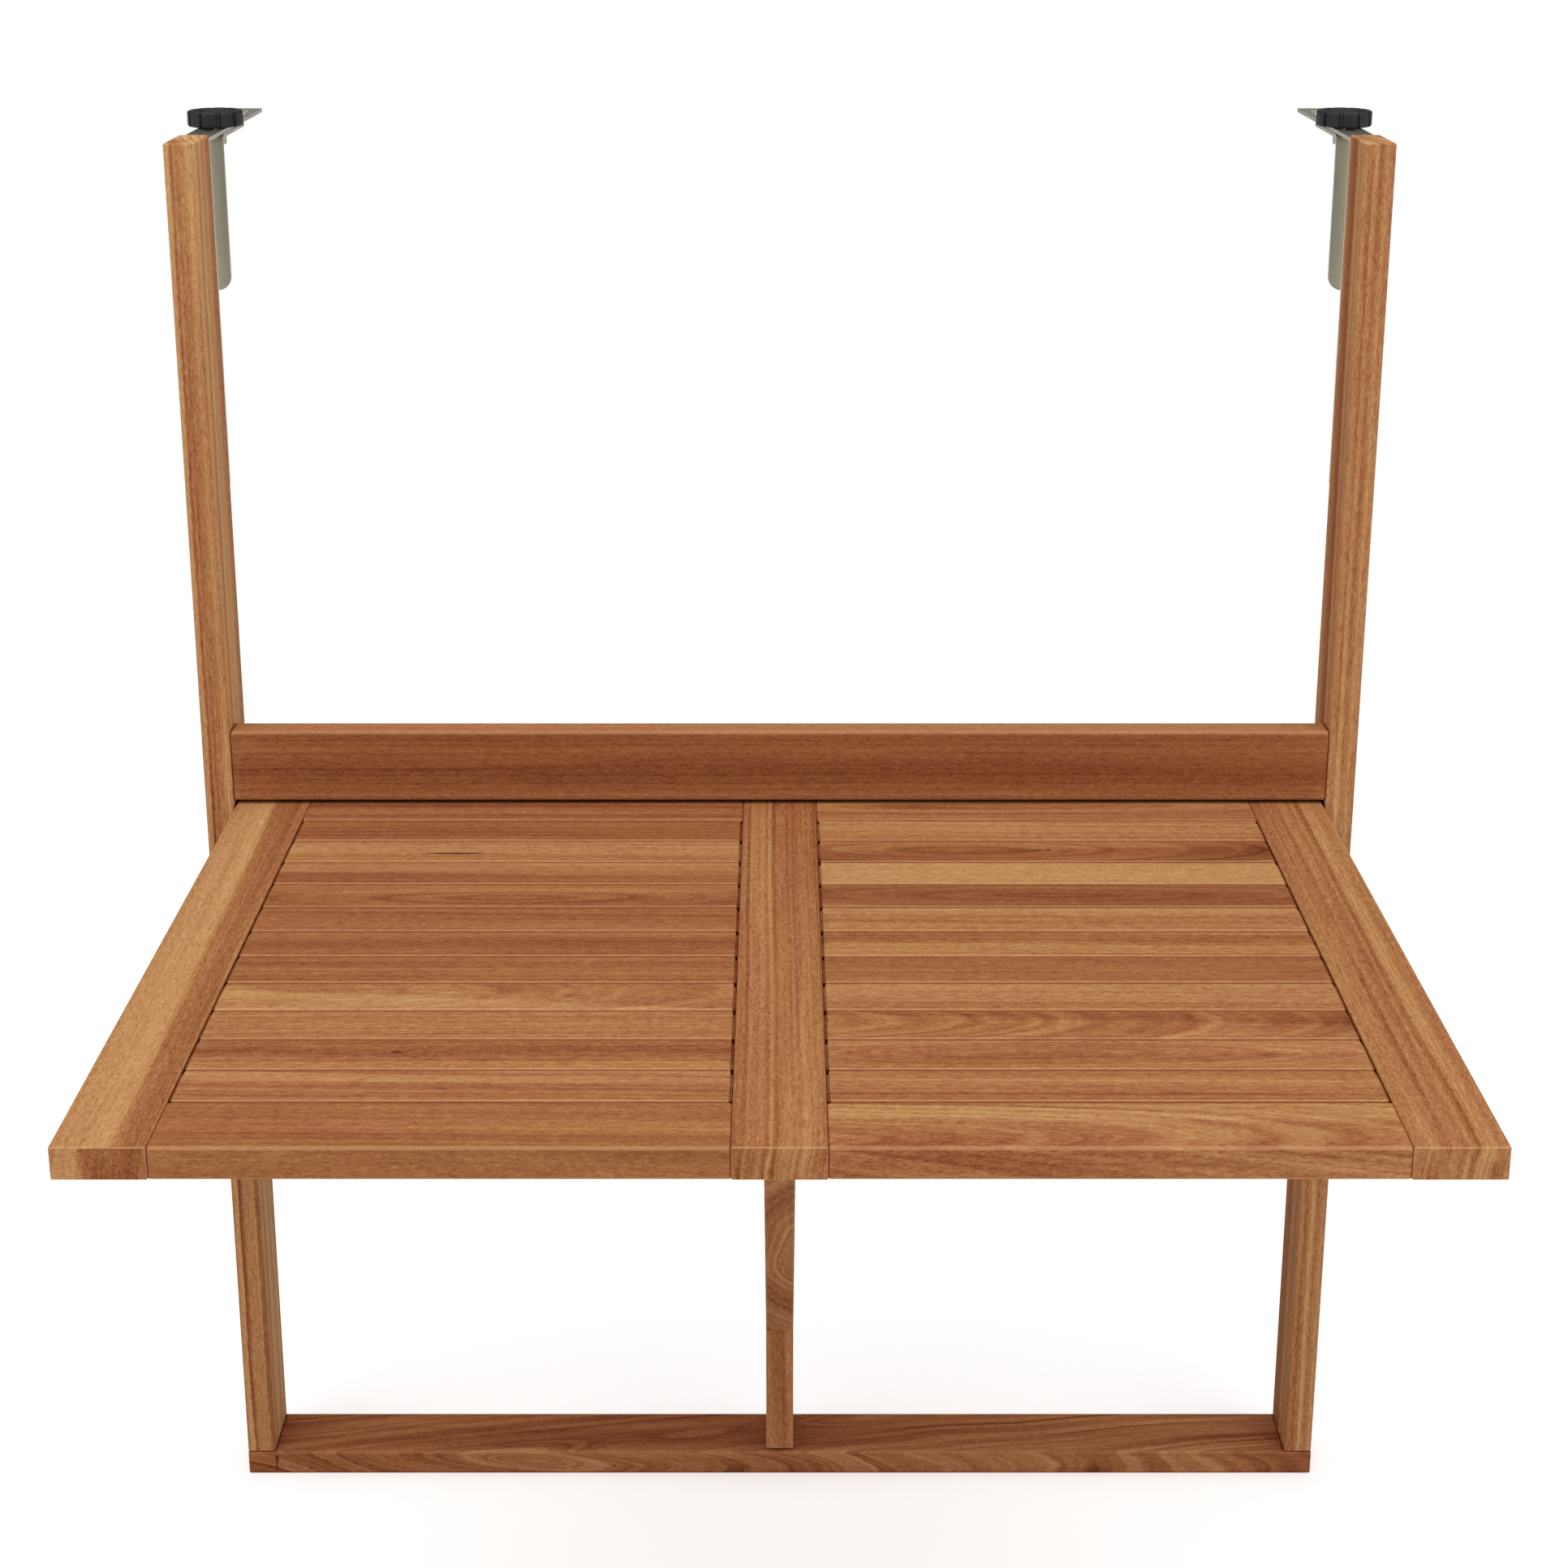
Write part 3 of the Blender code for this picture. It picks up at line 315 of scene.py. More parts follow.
def remap(tree, value, low, high, to_low=0.0, to_high=1.0, smooth=False):
    inputs = {"Value": value, "From Min": low, "From Max": high, "To Min": to_low, "To Max": to_high}
    kind = "SMOOTHSTEP" if smooth else "LINEAR"
    return add_node(tree, "MapRange", inputs, interpolation_type=kind).outputs["Result"]


def mix_colour(tree, factor, first, second, blend="MIX"):
    node = add_node(tree, "Mix", {0: factor, 6: first, 7: second}, data_type="RGBA", blend_type=blend)
    return node.outputs[2]


def ramp(tree, value, stops):
    """Colour ramp with stops of a place and a 0-255 colour."""
    node = add_node(tree, "ValToRGB", {"Fac": value})
    points = node.color_ramp.elements
    while len(points) < len(stops):
        points.new(0.5)
    for point, (place, colour) in zip(points, stops):
        point.position = place
        point.color = srgb(*colour)
    return node.outputs["Color"]


def new_material(name):
    """A material with a Principled shader, its tree and the shader."""
    material = bpy.data.materials.new(name)
    material.use_nodes = True
    tree = material.node_tree
    return material, tree, tree.nodes["Principled BSDF"]


def add_bump(tree, shader, height, strength, distance):
    bump = add_node(tree, "Bump", {"Height": height, "Strength": strength, "Distance": distance})
    tree.links.new(bump.outputs["Normal"], shader.inputs["Normal"])


# Wood grain

# The vector runs along the grain on X, across the board on Y and through it on Z. Heart is the tilt of the
# growth rings' axis, and the axis's place across and through the board. Split is the tilt, the place across
# and the strength of a step in tone, as where sapwood begins. Wander is how far the grain strays from
# straight. Figure is how strongly the rings and bands show, and Tan how much of the wood is tan, not
# reddish. The wear input is 1 where an edge is painted paler, as a painted highlight on its rounding and as
# rubbed wear, and End is 1 where a face cuts across the grain.
GRAIN_INPUTS = {
    "Vector": "Vector",
    "Heart": "Vector",
    "Split": "Vector",
    "Seed": "Float",
    "Tone": "Float",
    "Wander": "Float",
    "Figure": "Float",
    "Tan": "Float",
    "WearAndHighlight": "Float",
    "End": "Float",
}
GRAIN_OUTPUTS = {"Color": "Color", "Height": "Float", "Roughness": "Float"}


def add_sockets(group):
    """Adds the group's inputs and outputs, and gives their sockets inside it."""
    for in_out, sockets in (("INPUT", GRAIN_INPUTS), ("OUTPUT", GRAIN_OUTPUTS)):
        for name, kind in sockets.items():
            group.interface.new_socket(name, in_out=in_out, socket_type="NodeSocket" + kind)
    return group.nodes.new("NodeGroupInput").outputs, group.nodes.new("NodeGroupOutput").inputs


def grain_drift(group, place, wander):
    """How far the grain drifts from straight."""
    slow = centred(group, noise(group, place, SLOW_DRIFT))
    curl = centred(group, noise(group, place, CURL))
    drift = calc(group, "MULTIPLY", slow, wander)
    return calc(group, "MULTIPLY_ADD", curl, calc(group, "MULTIPLY", wander, CURL_SHARE), drift)


def heart_distance(group, local, given, drift, quiver):
    """Distance from the tree's heart, which sets the growth rings."""
    heart = parts(group, given["Heart"])
    across = calc(group, "ADD", calc(group, "SUBTRACT", local["Y"], heart["Y"]), drift)
    tilted = calc(group, "MULTIPLY_ADD", local["X"], heart["X"], local["Z"])
    through = calc(group, "SUBTRACT", tilted, heart["Z"])
    through = calc(group, "MULTIPLY_ADD", drift, THROUGH_SHARE, through)
    across_square = calc(group, "MULTIPLY", across, across)
    through_square = calc(group, "MULTIPLY", through, through)
    radius = calc(group, "SQRT", calc(group, "ADD", across_square, through_square))
    radius = calc(group, "MULTIPLY_ADD", quiver, RING_QUIVER, radius)
    return calc(group, "MULTIPLY_ADD", given["Seed"], SEED_RADIUS, radius)


def move_tone(group, tone, strength, fields):
    """The tone with noise fields added, each times its weight and the strength."""
    for field, weight in fields:
        part = calc(group, "MULTIPLY", centred(group, field), strength)
        tone = calc(group, "MULTIPLY_ADD", part, weight, tone)
    return tone


def add_streaks(group, tone, place, radius, figure):
    """The tone with dark streaks along the rings, which fade in and out."""
    fading = remap(group, noise(group, place, STREAK_PATCHES), *PATCH_LIMITS, smooth=True)
    streak = remap(group, noise_along(group, radius, STREAKS), *STREAK_LIMITS, smooth=True)
    streak = calc(group, "MULTIPLY", streak, fading)
    return calc(group, "MULTIPLY_ADD", streak, calc(group, "MULTIPLY", figure, STREAK_DEPTH), tone)


def add_split(group, tone, local, given, drift):
    """The tone with its step to a paler or darker side."""
    split = parts(group, given["Split"])
    tilted = calc(group, "MULTIPLY_ADD", local["X"], split["X"], local["Y"])
    side = calc(group, "SUBTRACT", tilted, split["Y"])
    side = calc(group, "MULTIPLY_ADD", given["End"], END_SPLIT_SHIFT, side)
    side = remap(group, calc(group, "ADD", side, drift), -SPLIT_BLUR, SPLIT_BLUR, smooth=True)
    strength = calc(group, "MULTIPLY_ADD", given["End"], END_SPLIT, 1.0)
    return calc(group, "MULTIPLY_ADD", side, calc(group, "MULTIPLY", split["Z"], strength), tone)


def wood_colour(group, tone, flow, given):
    """The tone's colour, reddish or tan, with edges painted paler as a painted highlight and as wear, and
    painted shade in the joints.
    """
    patches = remap(group, noise(group, flow, TAN_PATCHES), *TAN_LIMITS, smooth=True)
    tan = calc(group, "MULTIPLY", patches, TAN_IN_PATCH)
    tan = calc(group, "MULTIPLY_ADD", remap(group, tone, *LIGHT_TONES), TAN_IN_LIGHT, tan)
    tan = add_node(group, "Clamp", {0: calc(group, "MULTIPLY", tan, given["Tan"])}).outputs[0]
    colour = mix_colour(group, tan, ramp(group, tone, HEARTWOOD), ramp(group, tone, PALE_WOOD))
    # Painted highlight and wear: the edges' roundings are mixed towards a pale wood colour
    colour = mix_colour(group, given["WearAndHighlight"], colour, srgb(*WORN_AND_HIGHLIT_WOOD))
    # Painted shade: ambient occlusion darkens the colour in joints and gaps and wherever other surfaces lie
    # within reach
    inputs = {"Distance": JOINT_REACH}
    openness = add_node(group, "AmbientOcclusion", inputs, samples=JOINT_SAMPLES).outputs["AO"]
    shade = mix_colour(group, remap(group, openness, *JOINT_OPENNESS), PAINTED_JOINT_SHADE, WHITE)
    return mix_colour(group, 1.0, colour, shade, "MULTIPLY")


def make_wood_group():
    """Solid wood grain: its colour, height and roughness."""
    group = bpy.data.node_groups.new("wood_grain", "ShaderNodeTree")
    given, result = add_sockets(group)
    seed_inputs = {0: SEED_STEP, "Scale": given["Seed"]}
    seed_shift = add_node(group, "VectorMath", seed_inputs, operation="SCALE").outputs[0]
    place = vector_calc(group, "ADD", given["Vector"], seed_shift)
    local = parts(group, given["Vector"])

    drift = grain_drift(group, place, given["Wander"])
    quiver = centred(group, noise(group, place, QUIVER))
    radius = heart_distance(group, local, given, drift, quiver)
    waves = calc(group, "MULTIPLY_ADD", quiver, QUIVER_REACH, drift)
    sideways = {"Y": waves, "Z": calc(group, "MULTIPLY", waves, THROUGH_SHARE)}
    flow = vector_calc(group, "ADD", place, add_node(group, "CombineXYZ", sideways).outputs[0])

    fibre = noise(group, flow, FIBRE)
    pores = remap(group, noise(group, flow, VESSELS), *PORE_LIMITS, smooth=True)
    tone = calc(group, "MULTIPLY_ADD", given["End"], END_TONE, given["Tone"])
    end_figure = calc(group, "MULTIPLY_ADD", given["End"], END_FIGURE, 1.0)
    figure = calc(group, "MULTIPLY", given["Figure"], end_figure)
    tone = move_tone(group, tone, figure, (
        (noise_along(group, radius, BANDS), BAND_WEIGHT),
        (noise_along(group, radius, RINGS), RING_WEIGHT),
        (noise(group, place, ZONES), ZONE_WEIGHT),
    ))
    grit = remap(group, given["Tone"], *DARK_TONES, DARK_GRIT, 1.0)
    tone = move_tone(group, tone, grit, (
        (noise(group, flow, THREADS), THREAD_WEIGHT),
        (fibre, FIBRE_WEIGHT),
        (noise(group, flow, RIPPLE), RIPPLE_WEIGHT),
        (noise(group, place, MOTTLE), MOTTLE_WEIGHT),
    ))
    tone = add_streaks(group, tone, place, radius, figure)
    tone = calc(group, "MULTIPLY_ADD", pores, PORE_DEPTH, tone)
    tone = add_split(group, tone, local, given, drift)

    group.links.new(wood_colour(group, tone, flow, given), result["Color"])
    height = calc(group, "MULTIPLY_ADD", pores, PORE_HEIGHT, calc(group, "MULTIPLY", fibre, FIBRE_HEIGHT))
    group.links.new(height, result["Height"])
    group.links.new(remap(group, fibre, *FIBRE_RANGE, *WOOD_ROUGHNESS), result["Roughness"])
    return group


# Boards

def grain_map(node_name, grain, wide):
    """Rotation and shift that carry a board's grain to X, its wide face's width to Y and its centre to 0."""
    low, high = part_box(node_name)
    centre = (low + high) / 2
    thin = grain.cross(wide)
    turn = Matrix((grain, wide, thin))
    return turn.to_euler(), -(turn @ centre)


def find_share(shares, node_name, default):
    """The first share whose key is a part of the node's name."""
    return next((share for part, share in shares.items() if part in node_name), default)


def edge_highlight_and_wear(tree, node_name, along, across, through):
    """How pale a board's edges are painted, as a painted highlight and as rubbed wear, from how far their
    faces look along, across and through it.
    """
    long_highlight_and_wear, end_highlight_and_wear = find_share(EDGE_HIGHLIGHT_AND_WEAR, node_name, (0.0, 0.0))
    # A long edge faces across the board and through it, and an end's edge faces along it too
    long_edge = calc(tree, "MINIMUM", across, through)
    end_edge = calc(tree, "MINIMUM", along, calc(tree, "MAXIMUM", across, through))
    long_edge = remap(tree, long_edge, *EDGE_TURN, 0.0, long_highlight_and_wear, smooth=True)
    end_edge = remap(tree, end_edge, *EDGE_TURN, 0.0, end_highlight_and_wear, smooth=True)
    return calc(tree, "MAXIMUM", long_edge, end_edge)


def add_knot(tree, mapped, colour, along, across, knot_length, knot_width):
    """A small dark knot or flaw on the board's faces, drawn out along the grain."""
    shape = (1 / knot_length, 1 / knot_width, 0)
    centre = (along / knot_length, across / knot_width, 0)
    scaled = vector_calc(tree, "MULTIPLY", mapped, shape)
    reach = length(tree, vector_calc(tree, "SUBTRACT", scaled, centre))
    ragged = noise(tree, mapped, KNOT_RAGS)
    reach = calc(tree, "ADD", reach, calc(tree, "MULTIPLY_ADD", ragged, KNOT_RAGGED, -KNOT_RAGGED / 2))
    core = remap(tree, reach, KNOT_CORE, 1.0, KNOT_DARKNESS, 0.0, smooth=True)
    return mix_colour(tree, core, colour, srgb(*KNOT_BROWN))


def wood_material(wood_group, node_name, grain, wide, tone, heart, split, wander, figure, seed):
    material, tree, shader = new_material(node_name + "_oiled_wood")
    turn, shift = grain_map(node_name, grain, wide)
    coordinates = add_node(tree, "TexCoord").outputs
    to_grain = {"Vector": coordinates["Object"], "Rotation": turn, "Location": shift}
    mapped = add_node(tree, "Mapping", to_grain).outputs["Vector"]
    to_grain = {"Vector": coordinates["Normal"], "Rotation": turn}
    facing = add_node(tree, "Mapping", to_grain, vector_type="NORMAL").outputs["Vector"]
    along, across, through = parts(tree, vector_calc(tree, "ABSOLUTE", facing))

    group = tree.nodes.new("ShaderNodeGroup")
    group.node_tree = wood_group
    tree.links.new(mapped, group.inputs["Vector"])
    tree.links.new(remap(tree, along, *END_TURN), group.inputs["End"])
    # The edges' painted highlight and wear
    tree.links.new(edge_highlight_and_wear(tree, node_name, along, across, through), group.inputs["WearAndHighlight"])
    values = {
        "Heart": heart,
        "Split": split,
        "Seed": seed,
        "Tone": tone,
        "Wander": wander,
        "Figure": figure,
        "Tan": find_share(TAN, node_name, 1.0),
    }
    for name, value in values.items():
        group.inputs[name].default_value = value
    colour = group.outputs["Color"]
    for knot in KNOTS.get(node_name, ()):
        colour = add_knot(tree, mapped, colour, *knot)
    tree.links.new(colour, shader.inputs["Base Color"])
    tree.links.new(group.outputs["Roughness"], shader.inputs["Roughness"])
    add_bump(tree, shader, group.outputs["Height"], *WOOD_BUMP)
    shader.inputs["Specular IOR Level"].default_value = WOOD_SHEEN
    return material


def arches(tilt, along, across=0.0):
    """Rings that draw nested arches round a place on the board's wide face."""
    return (tilt, across, tilt * along)


# How a board is cut: the tilt, and the place across and through, of the growth rings' axis
STRAIGHT = (0.004, 0.090, 0.030)
EDGE_GRAIN = (0.006, 0.030, 0.110)
GENTLE = (0.020, 0.045, 0.050)
RIFT = (0.004, 0.090, 0.012)
# No split
EVEN = (0, 0, 0)

# Knots and flaws: the place along and across the board, and the length and width
KNOTS = {
    "left_slat_02": ((-0.029, 0.002, 0.0040, 0.0011),),
    "left_slat_10": ((-0.030, -0.003, 0.0240, 0.0016),),
    "right_slat_10": ((0.002, 0.002, 0.0016, 0.0018), (-0.004, 0.001, 0.0060, 0.0010)),
    "right_stile": ((0.080, 0.004, 0.0014, 0.0008),),
    "bottom_rail": (
        (-0.3004, 0.0030, 0.0012, 0.0036),
        (-0.3008, -0.0020, 0.0006, 0.0066),
        (-0.2800, -0.0040, 0.0017, 0.0008),
        (-0.0990, -0.0020, 0.0014, 0.0008),
    ),
}

# Boards of the frame, the top and the gate leg: the ways of the grain and of the wide face's width, then
# the tone, cut, split, wander, figure and seed
BOARDS = {
    "left_upright": (Z, X, 0.59, STRAIGHT, (0, -0.0036, 0.12), 0.005, 2.0, 31.2),
    "right_upright": (Z, X, 0.57, STRAIGHT, (0, -0.0020, 0.13), 0.005, 1.4, 32.5),
    "bottom_rail": (X, Z, 0.40, arches(0.16, -0.02, 0.002), (50, -15.03, 0.06), 0.060, 2.2, 33.1),
    "crossbar": (X, Z, 0.43, STRAIGHT, (0, 0.0190, 0.20), 0.005, 0.7, 34.7),
    "rear_rail": (X, Z, 0.44, GENTLE, EVEN, 0.008, 1.0, 35.3),
    "left_stile": (Y, X, 0.73, RIFT, (0.012, 0.003, -0.23), 0.006, 0.8, 36.9),
    "centre_stile": (Y, X, 0.50, RIFT, EVEN, 0.005, 1.0, 37.4),
    "right_stile": (Y, X, 0.54, RIFT, (0.020, 0.006, 0.04), 0.006, 1.4, 38.8),
    "front_left_rail": (X, Y, 0.46, GENTLE, EVEN, 0.010, 0.6, 39.2),
    "front_right_rail": (X, Y, 0.53, arches(0.13, -0.10, -0.012), (0.030, 0.004, 0.08), 0.014, 1.1, 40.6),
    "back_left_rail": (X, Y, 0.48, STRAIGHT, EVEN, 0.006, 1.0, 41.3),
    "back_right_rail": (X, Y, 0.48, arches(0.06, 0.10), EVEN, 0.008, 1.2, 42.7),
    "gate_post": (Z, X, 0.55, EDGE_GRAIN, (0, 0.0034, 0.18), 0.004, 1.5, 43.5),
    "gate_arm": (Y, Z, 0.42, GENTLE, EVEN, 0.008, 1.0, 44.9),
}
# The gate leg's brace: the same, but for the way of its grain, which runs up its slope
BRACE = (X, 0.57, arches(0.30, -0.060, 0.007), EVEN, 0.090, 1.7, 45.2)

# Slats from the front to the back: the tone, cut, split, wander, figure and seed
LEFT_SLATS = (
    (0.47, GENTLE, (0.004, 0.004, 0.14), 0.008, 0.8, 1.3),
    (0.55, STRAIGHT, (0.010, -0.006, -0.10), 0.010, 0.9, 2.1),
    (0.51, GENTLE, (0, -0.010, 0.06), 0.012, 0.9, 3.4),
    (0.70, arches(0.10, -0.20, 0.006), (0.085, -0.002, -0.16), 0.012, 0.9, 4.2),
    (0.47, STRAIGHT, EVEN, 0.006, 0.7, 5.7),
    (0.44, STRAIGHT, (0, 0.008, 0.06), 0.006, 0.8, 6.3),
    (0.48, GENTLE, EVEN, 0.006, 0.6, 7.9),
    (0.43, arches(0.12, 0.07, -0.002), (0.006, 0.004, 0.08), 0.012, 1.0, 8.6),
    (0.43, EDGE_GRAIN, (-0.006, 0.002, 0.08), 0.006, 0.9, 9.2),
    (0.59, GENTLE, (0.004, -0.004, 0.06), 0.008, 0.6, 10.8),
    (0.42, STRAIGHT, EVEN, 0.005, 0.7, 11.5),
)
RIGHT_SLATS = (
    (0.49, GENTLE, (0.012, 0.002, 0.08), 0.008, 0.8, 12.4),
    (0.50, arches(0.10, 0.05, 0.001), (-0.008, 0, 0.08), 0.014, 1.2, 13.1),
    (0.49, arches(0.17, -0.13, 0.003), (0.050, 0.004, -0.12), 0.007, 1.4, 14.9),
    (0.55, STRAIGHT, (0, -0.006, 0.06), 0.008, 0.6, 15.6),
    (0.47, STRAIGHT, EVEN, 0.005, 0.6, 16.2),
    (0.57, GENTLE, (0.012, 0.002, -0.10), 0.008, 0.9, 17.7),
    (0.57, GENTLE, (-0.010, 0.004, 0.05), 0.008, 0.5, 18.3),
    (0.40, arches(0.09, 0.09, 0.001), (0.040, 0.006, 0.04), 0.010, 0.9, 19.5),
    (0.70, STRAIGHT, EVEN, 0.006, 0.25, 20.1),
    (0.36, arches(0.15, 0.012, 0.003), (-0.030, 0.004, 0.08), 0.010, 1.2, 21.8),
    (0.55, GENTLE, (0.006, 0.006, 0.08), 0.008, 1.1, 22.6),
)


def dress_wood():
    """Each board with its own cut, tone and strength of figure, after the photograph."""
    wood_group = make_wood_group()
    boards = dict(BOARDS)
    for side, slats in (("left", LEFT_SLATS), ("right", RIGHT_SLATS)):
        for number, cut in enumerate(slats, 1):
            boards["%s_slat_%02d" % (side, number)] = (X, Y, *cut)
    low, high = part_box("gate_brace")
    slope = Vector((0, low.y - high.y, high.z - low.z)).normalized()
    boards["gate_brace"] = (slope, *BRACE)
    for name, cut in boards.items():
        dress(name, wood_material(wood_group, name, *cut))


# Glue lines

def glue_material():
    """Old glue and oil in the joints, in blotches of two dark browns."""
    material, tree, shader = new_material("joint_glue")
    place = add_node(tree, "TexCoord").outputs["Object"]
    blotch = remap(tree, noise(tree, place, GLUE_BLOTCHES), *GLUE_LIMITS)
    colour = mix_colour(tree, blotch, srgb(*GLUE_DARK), srgb(*GLUE_BROWN))
    tree.links.new(colour, shader.inputs["Base Color"])
    shader.inputs["Roughness"].default_value = GLUE_ROUGHNESS
    shader.inputs["Specular IOR Level"].default_value = 0.0
    return material


def add_glue_line(bar, seat, axis, side, body, slot, material):
    """A thin plate of glue that fills the gap between a bar's shoulder and the piece that it is joined to.

    The seat lies at the bar's high end on the axis where side is 1, and at its low end where side is -1.
    """
    low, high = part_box(bar)
    seat_low, seat_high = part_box(seat)
    inset = Vector((GLUE_INSET, GLUE_INSET, GLUE_INSET))
    low += inset
    high -= inset
    if side > 0:
        low[axis], high[axis] = seat_low[axis] - JOINT_GAP, seat_low[axis]
    else:
        low[axis], high[axis] = seat_high[axis], seat_high[axis] + JOINT_GAP
    name = "%s_glue_at_%s" % (bar, seat)
    plate = bmesh.new()
    bmesh.ops.create_cube(plate, size=1, matrix=Matrix.Diagonal((*(high - low), 1)))
    mesh = bpy.data.meshes.new(name)
    plate.to_mesh(mesh)
    plate.free()
    mesh.materials.append(material)
    thing = add_object(name, mesh)
    thing.location = (low + high) / 2
    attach(thing, body)


def add_glue_lines():
    """Glue in the joints of the frame, the top's end rails and the gate leg's arm."""
    # The bar, the piece that it meets, the axis and the end of the bar, and the glue's body and slot
    joints = [("gate_arm", "gate_post", 1, 1, "gate_leg", "gate_wood")]
    for side, outwards in (("left", -1), ("right", 1)):
        upright = side + "_upright"
        joints.append((upright, "bottom_rail", 2, -1, "frame", "upright_wood"))
        for bar in ("crossbar", "rear_rail"):
            joints.append((bar, upright, 0, outwards, "frame", "rail_wood"))
        for end in ("front", "back"):
            rail = "%s_%s_rail" % (end, side)
            joints.append((rail, side + "_stile", 0, outwards, "tabletop", "end_rail_wood"))
            joints.append((rail, "centre_stile", 0, -outwards, "tabletop", "end_rail_wood"))
    material = glue_material()
    for joint in joints:
        add_glue_line(*joint, material)


# Metal and plastic

def steel_material(name, colour, roughness, streak_look):
    """Dull zinc-plated steel with fine streaks and faint clouds."""
    material, tree, shader = new_material(name)
    place = add_node(tree, "TexCoord").outputs["Object"]
    streaks = noise(tree, place, streak_look)
    clouds = noise(tree, place, STEEL_CLOUDS)
    shade = calc(tree, "MULTIPLY_ADD", clouds, 0.5, calc(tree, "MULTIPLY", streaks, 0.5))
    light = srgb(*colour)
    dark = tuple(channel * STEEL_DARKER for channel in light[:3]) + (1,)
    colour_out = mix_colour(tree, remap(tree, shade, *STEEL_SHADES), dark, light)
    tree.links.new(colour_out, shader.inputs["Base Color"])
    rough = (roughness + STEEL_DULLER, roughness - STEEL_SHINIER)
    tree.links.new(remap(tree, shade, *STEEL_GLOSS_SHADES, *rough), shader.inputs["Roughness"])
    shader.inputs["Metallic"].default_value = 1.0
    add_bump(tree, shader, streaks, *STEEL_BUMP)
    return material


def knob_material():
    """Moulded black plastic with a fine spark-eroded grain."""
    material, tree, shader = new_material("knob_black_plastic")
    place = add_node(tree, "TexCoord").outputs["Object"]
    wear = noise(tree, place, KNOB_WEAR)
    colour = mix_colour(tree, remap(tree, wear, *KNOB_WORN), srgb(*KNOB_BLACK), srgb(*KNOB_WORN_BLACK))
    tree.links.new(colour, shader.inputs["Base Color"])
    tree.links.new(remap(tree, wear, *KNOB_WEAR_RANGE, *KNOB_ROUGHNESS), shader.inputs["Roughness"])
    shader.inputs["Specular IOR Level"].default_value = KNOB_SHEEN
    add_bump(tree, shader, noise(tree, place, KNOB_GRAIN), *KNOB_BUMP)
    return material


def dress_metal_and_plastic():
    looks = {
        ("_bracket", "_jaw"): steel_material("hook_zinc_steel", *HOOK_STEEL),
        ("_pin", "_bolt", "_washer", "_screw_1", "_screw_2", "_nut", "_stud"):
            steel_material("fastener_zinc_steel", *FASTENER_STEEL),
        ("_knob",): knob_material(),
    }
    for endings, material in looks.items():
        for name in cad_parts:
            if name.endswith(endings):
                dress(name, material)


# Studio

def seen_directly(tree):
    """1 for camera, glossy and transmission rays, 0 for the rays that light the object."""
    rays = add_node(tree, "LightPath").outputs
    mirrored = calc(tree, "MAXIMUM", rays["Is Glossy Ray"], rays["Is Transmission Ray"])
    return calc(tree, "MAXIMUM", rays["Is Camera Ray"], mirrored)


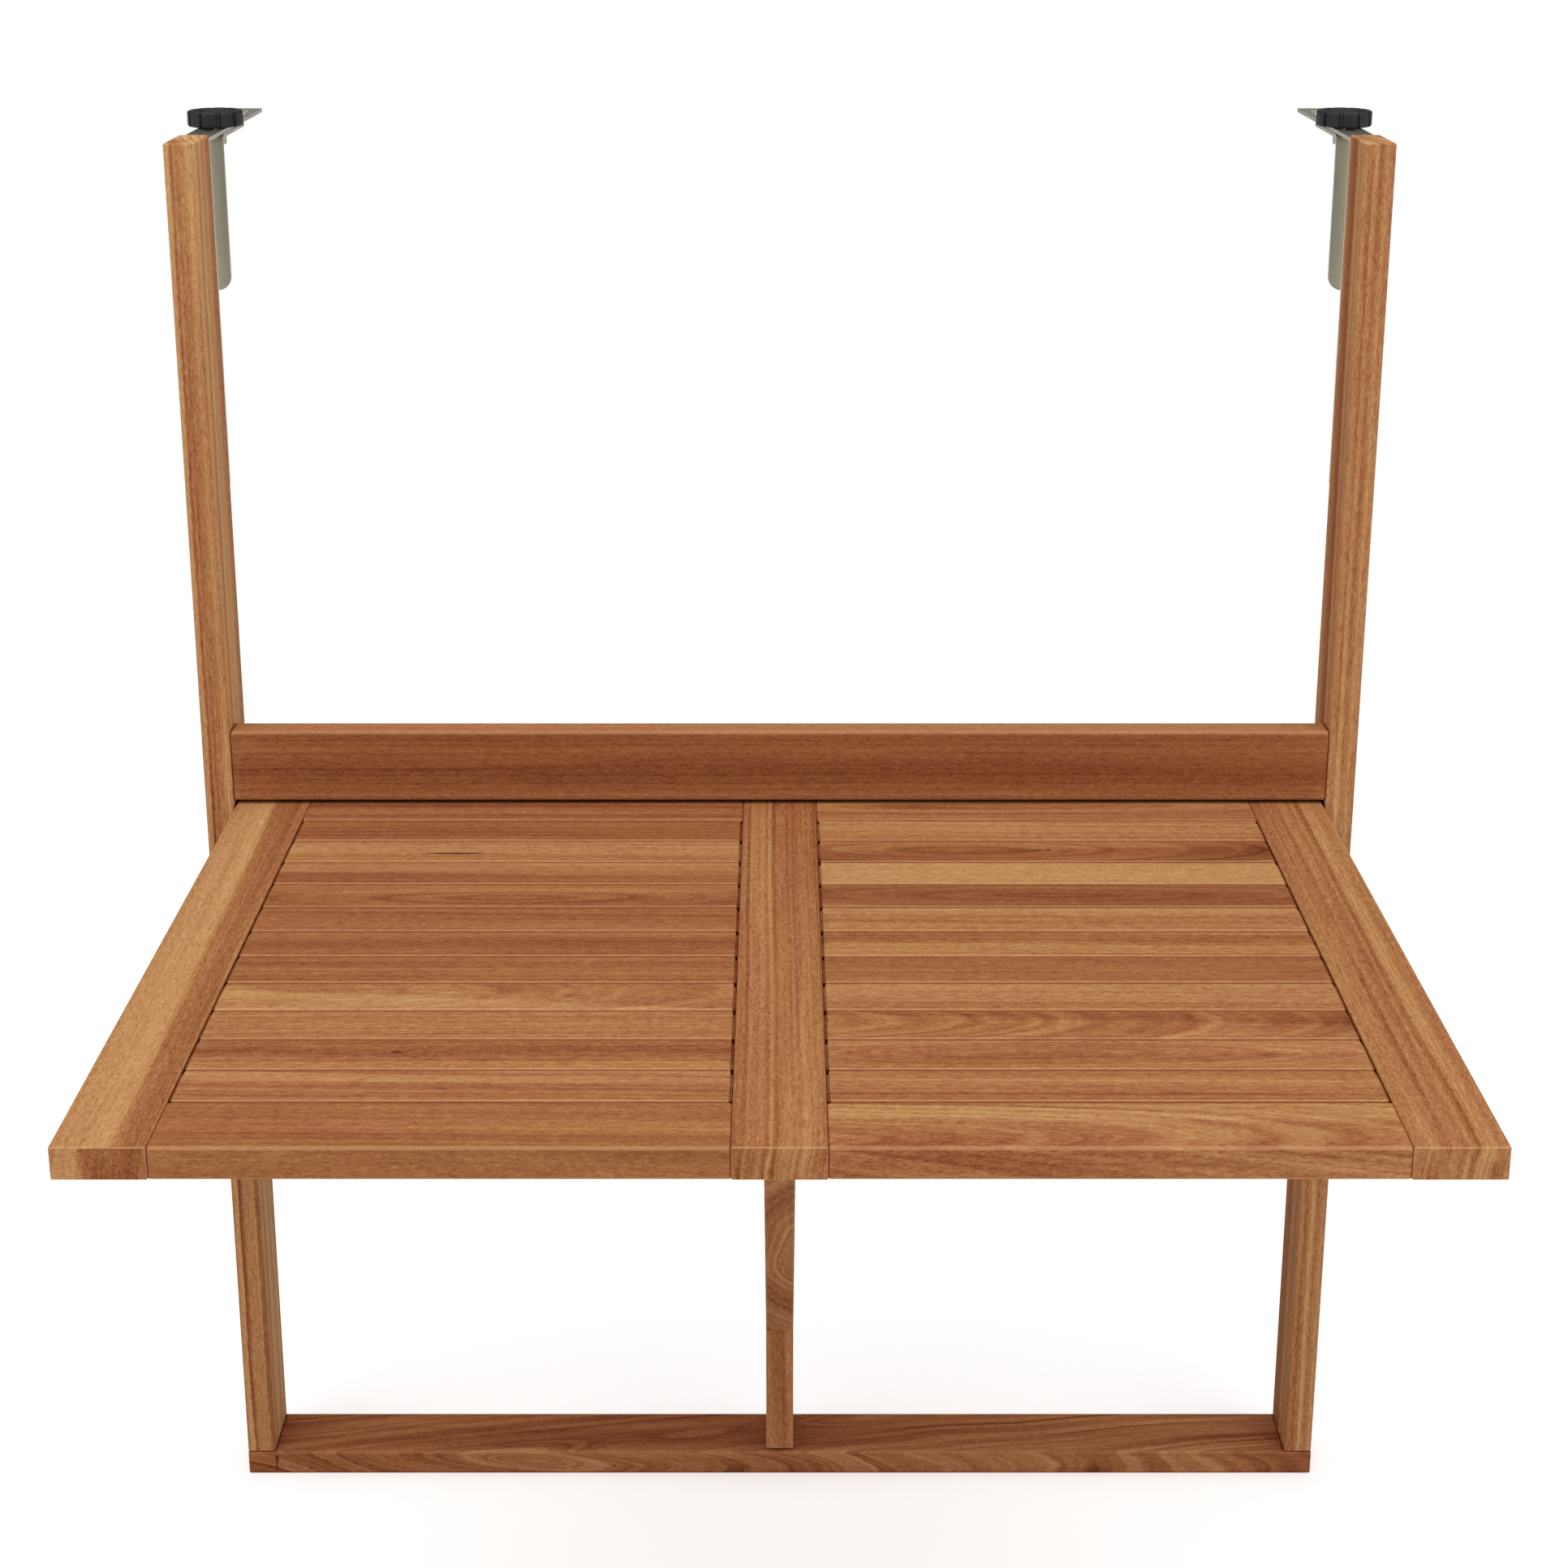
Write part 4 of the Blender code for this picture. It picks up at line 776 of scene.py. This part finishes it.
def add_floor():
    """White floor that keeps the object's shadow near it and fades to the white background."""
    half = FLOOR_SIZE / 2
    height = cad_box[0].z
    mesh = bpy.data.meshes.new("studio_floor")
    corners = [(-half, -half, height), (half, -half, height), (half, half, height), (-half, half, height)]
    mesh.from_pydata(corners, [], [(0, 1, 2, 3)])
    floor = add_object("studio_floor", mesh)
    material, tree, shader = new_material("studio_floor_white")
    shader.inputs["Base Color"].default_value = FLOOR_ALBEDO
    shader.inputs["Roughness"].default_value = 1.0
    shader.inputs["Specular IOR Level"].default_value = 0.0
    seen = seen_directly(tree)
    lift = add_node(tree, "Emission", {"Strength": calc(tree, "MULTIPLY", seen, FLOOR_LIFT)})
    shaded = add_node(tree, "AddShader", {0: shader.outputs[0], 1: lift.outputs[0]})
    place = add_node(tree, "TexCoord").outputs["Object"]
    distance = length(tree, vector_calc(tree, "MULTIPLY", place, (1, 1, 0)))
    far = remap(tree, distance, FLOOR_NEAR, FLOOR_FAR, smooth=True)
    white = add_node(tree, "Emission", {"Strength": 1.0})
    fade = {0: calc(tree, "MULTIPLY", far, seen), 1: shaded.outputs[0], 2: white.outputs[0]}
    surface = add_node(tree, "MixShader", fade).outputs[0]
    tree.links.new(surface, tree.nodes["Material Output"].inputs["Surface"])
    mesh.materials.append(material)


def add_world():
    """White behind the object, even light on it, and a room that is dimmer behind for what it mirrors."""
    world = bpy.data.worlds.new("studio_world")
    world.use_nodes = True
    tree = world.node_tree
    rays = add_node(tree, "LightPath").outputs
    direction = parts(tree, add_node(tree, "TexCoord").outputs["Generated"])
    gloss = remap(tree, direction["Y"], *GLOSS_TURN, GLOSS_FRONT, GLOSS_BEHIND, smooth=True)
    seen = calc(tree, "MAXIMUM", rays["Is Camera Ray"], rays["Is Transmission Ray"])
    strength = calc(tree, "MULTIPLY_ADD", seen, 1 - AMBIENT, AMBIENT)
    extra = calc(tree, "SUBTRACT", gloss, AMBIENT)
    strength = calc(tree, "MULTIPLY_ADD", rays["Is Glossy Ray"], extra, strength)
    tree.nodes["Background"].inputs["Color"].default_value = WHITE
    tree.links.new(strength, tree.nodes["Background"].inputs["Strength"])
    bpy.context.scene.world = world


def add_lamp(name, place, size, energy):
    lamp = bpy.data.lights.new(name, "AREA")
    lamp.shape = "DISK"
    lamp.size = size
    lamp.energy = energy
    thing = add_object(name, lamp)
    thing.location = place
    thing.rotation_euler = (Vector(place) - LAMP_TARGET).to_track_quat("Z", "Y").to_euler()


def add_camera():
    lens = bpy.data.cameras.new("photo_camera")
    lens.sensor_fit = "HORIZONTAL"
    lens.sensor_width = SENSOR_WIDTH
    lens.lens = FOCAL_PIXELS / IMAGE_SIDE * SENSOR_WIDTH
    lens.shift_x, lens.shift_y = CAMERA_SHIFT
    camera = add_object("photo_camera", lens)
    camera.location = CAMERA_PLACE
    camera.rotation_euler = (math.radians(90) - CAMERA_PITCH, 0, 0)
    bpy.context.scene.camera = camera


def add_studio():
    add_floor()
    add_world()
    for name, settings in LAMPS.items():
        add_lamp(name, *settings)
    add_camera()
    bpy.context.scene.view_settings.view_transform = "Standard"


dress_wood()
add_glue_lines()
dress_metal_and_plastic()
add_studio()
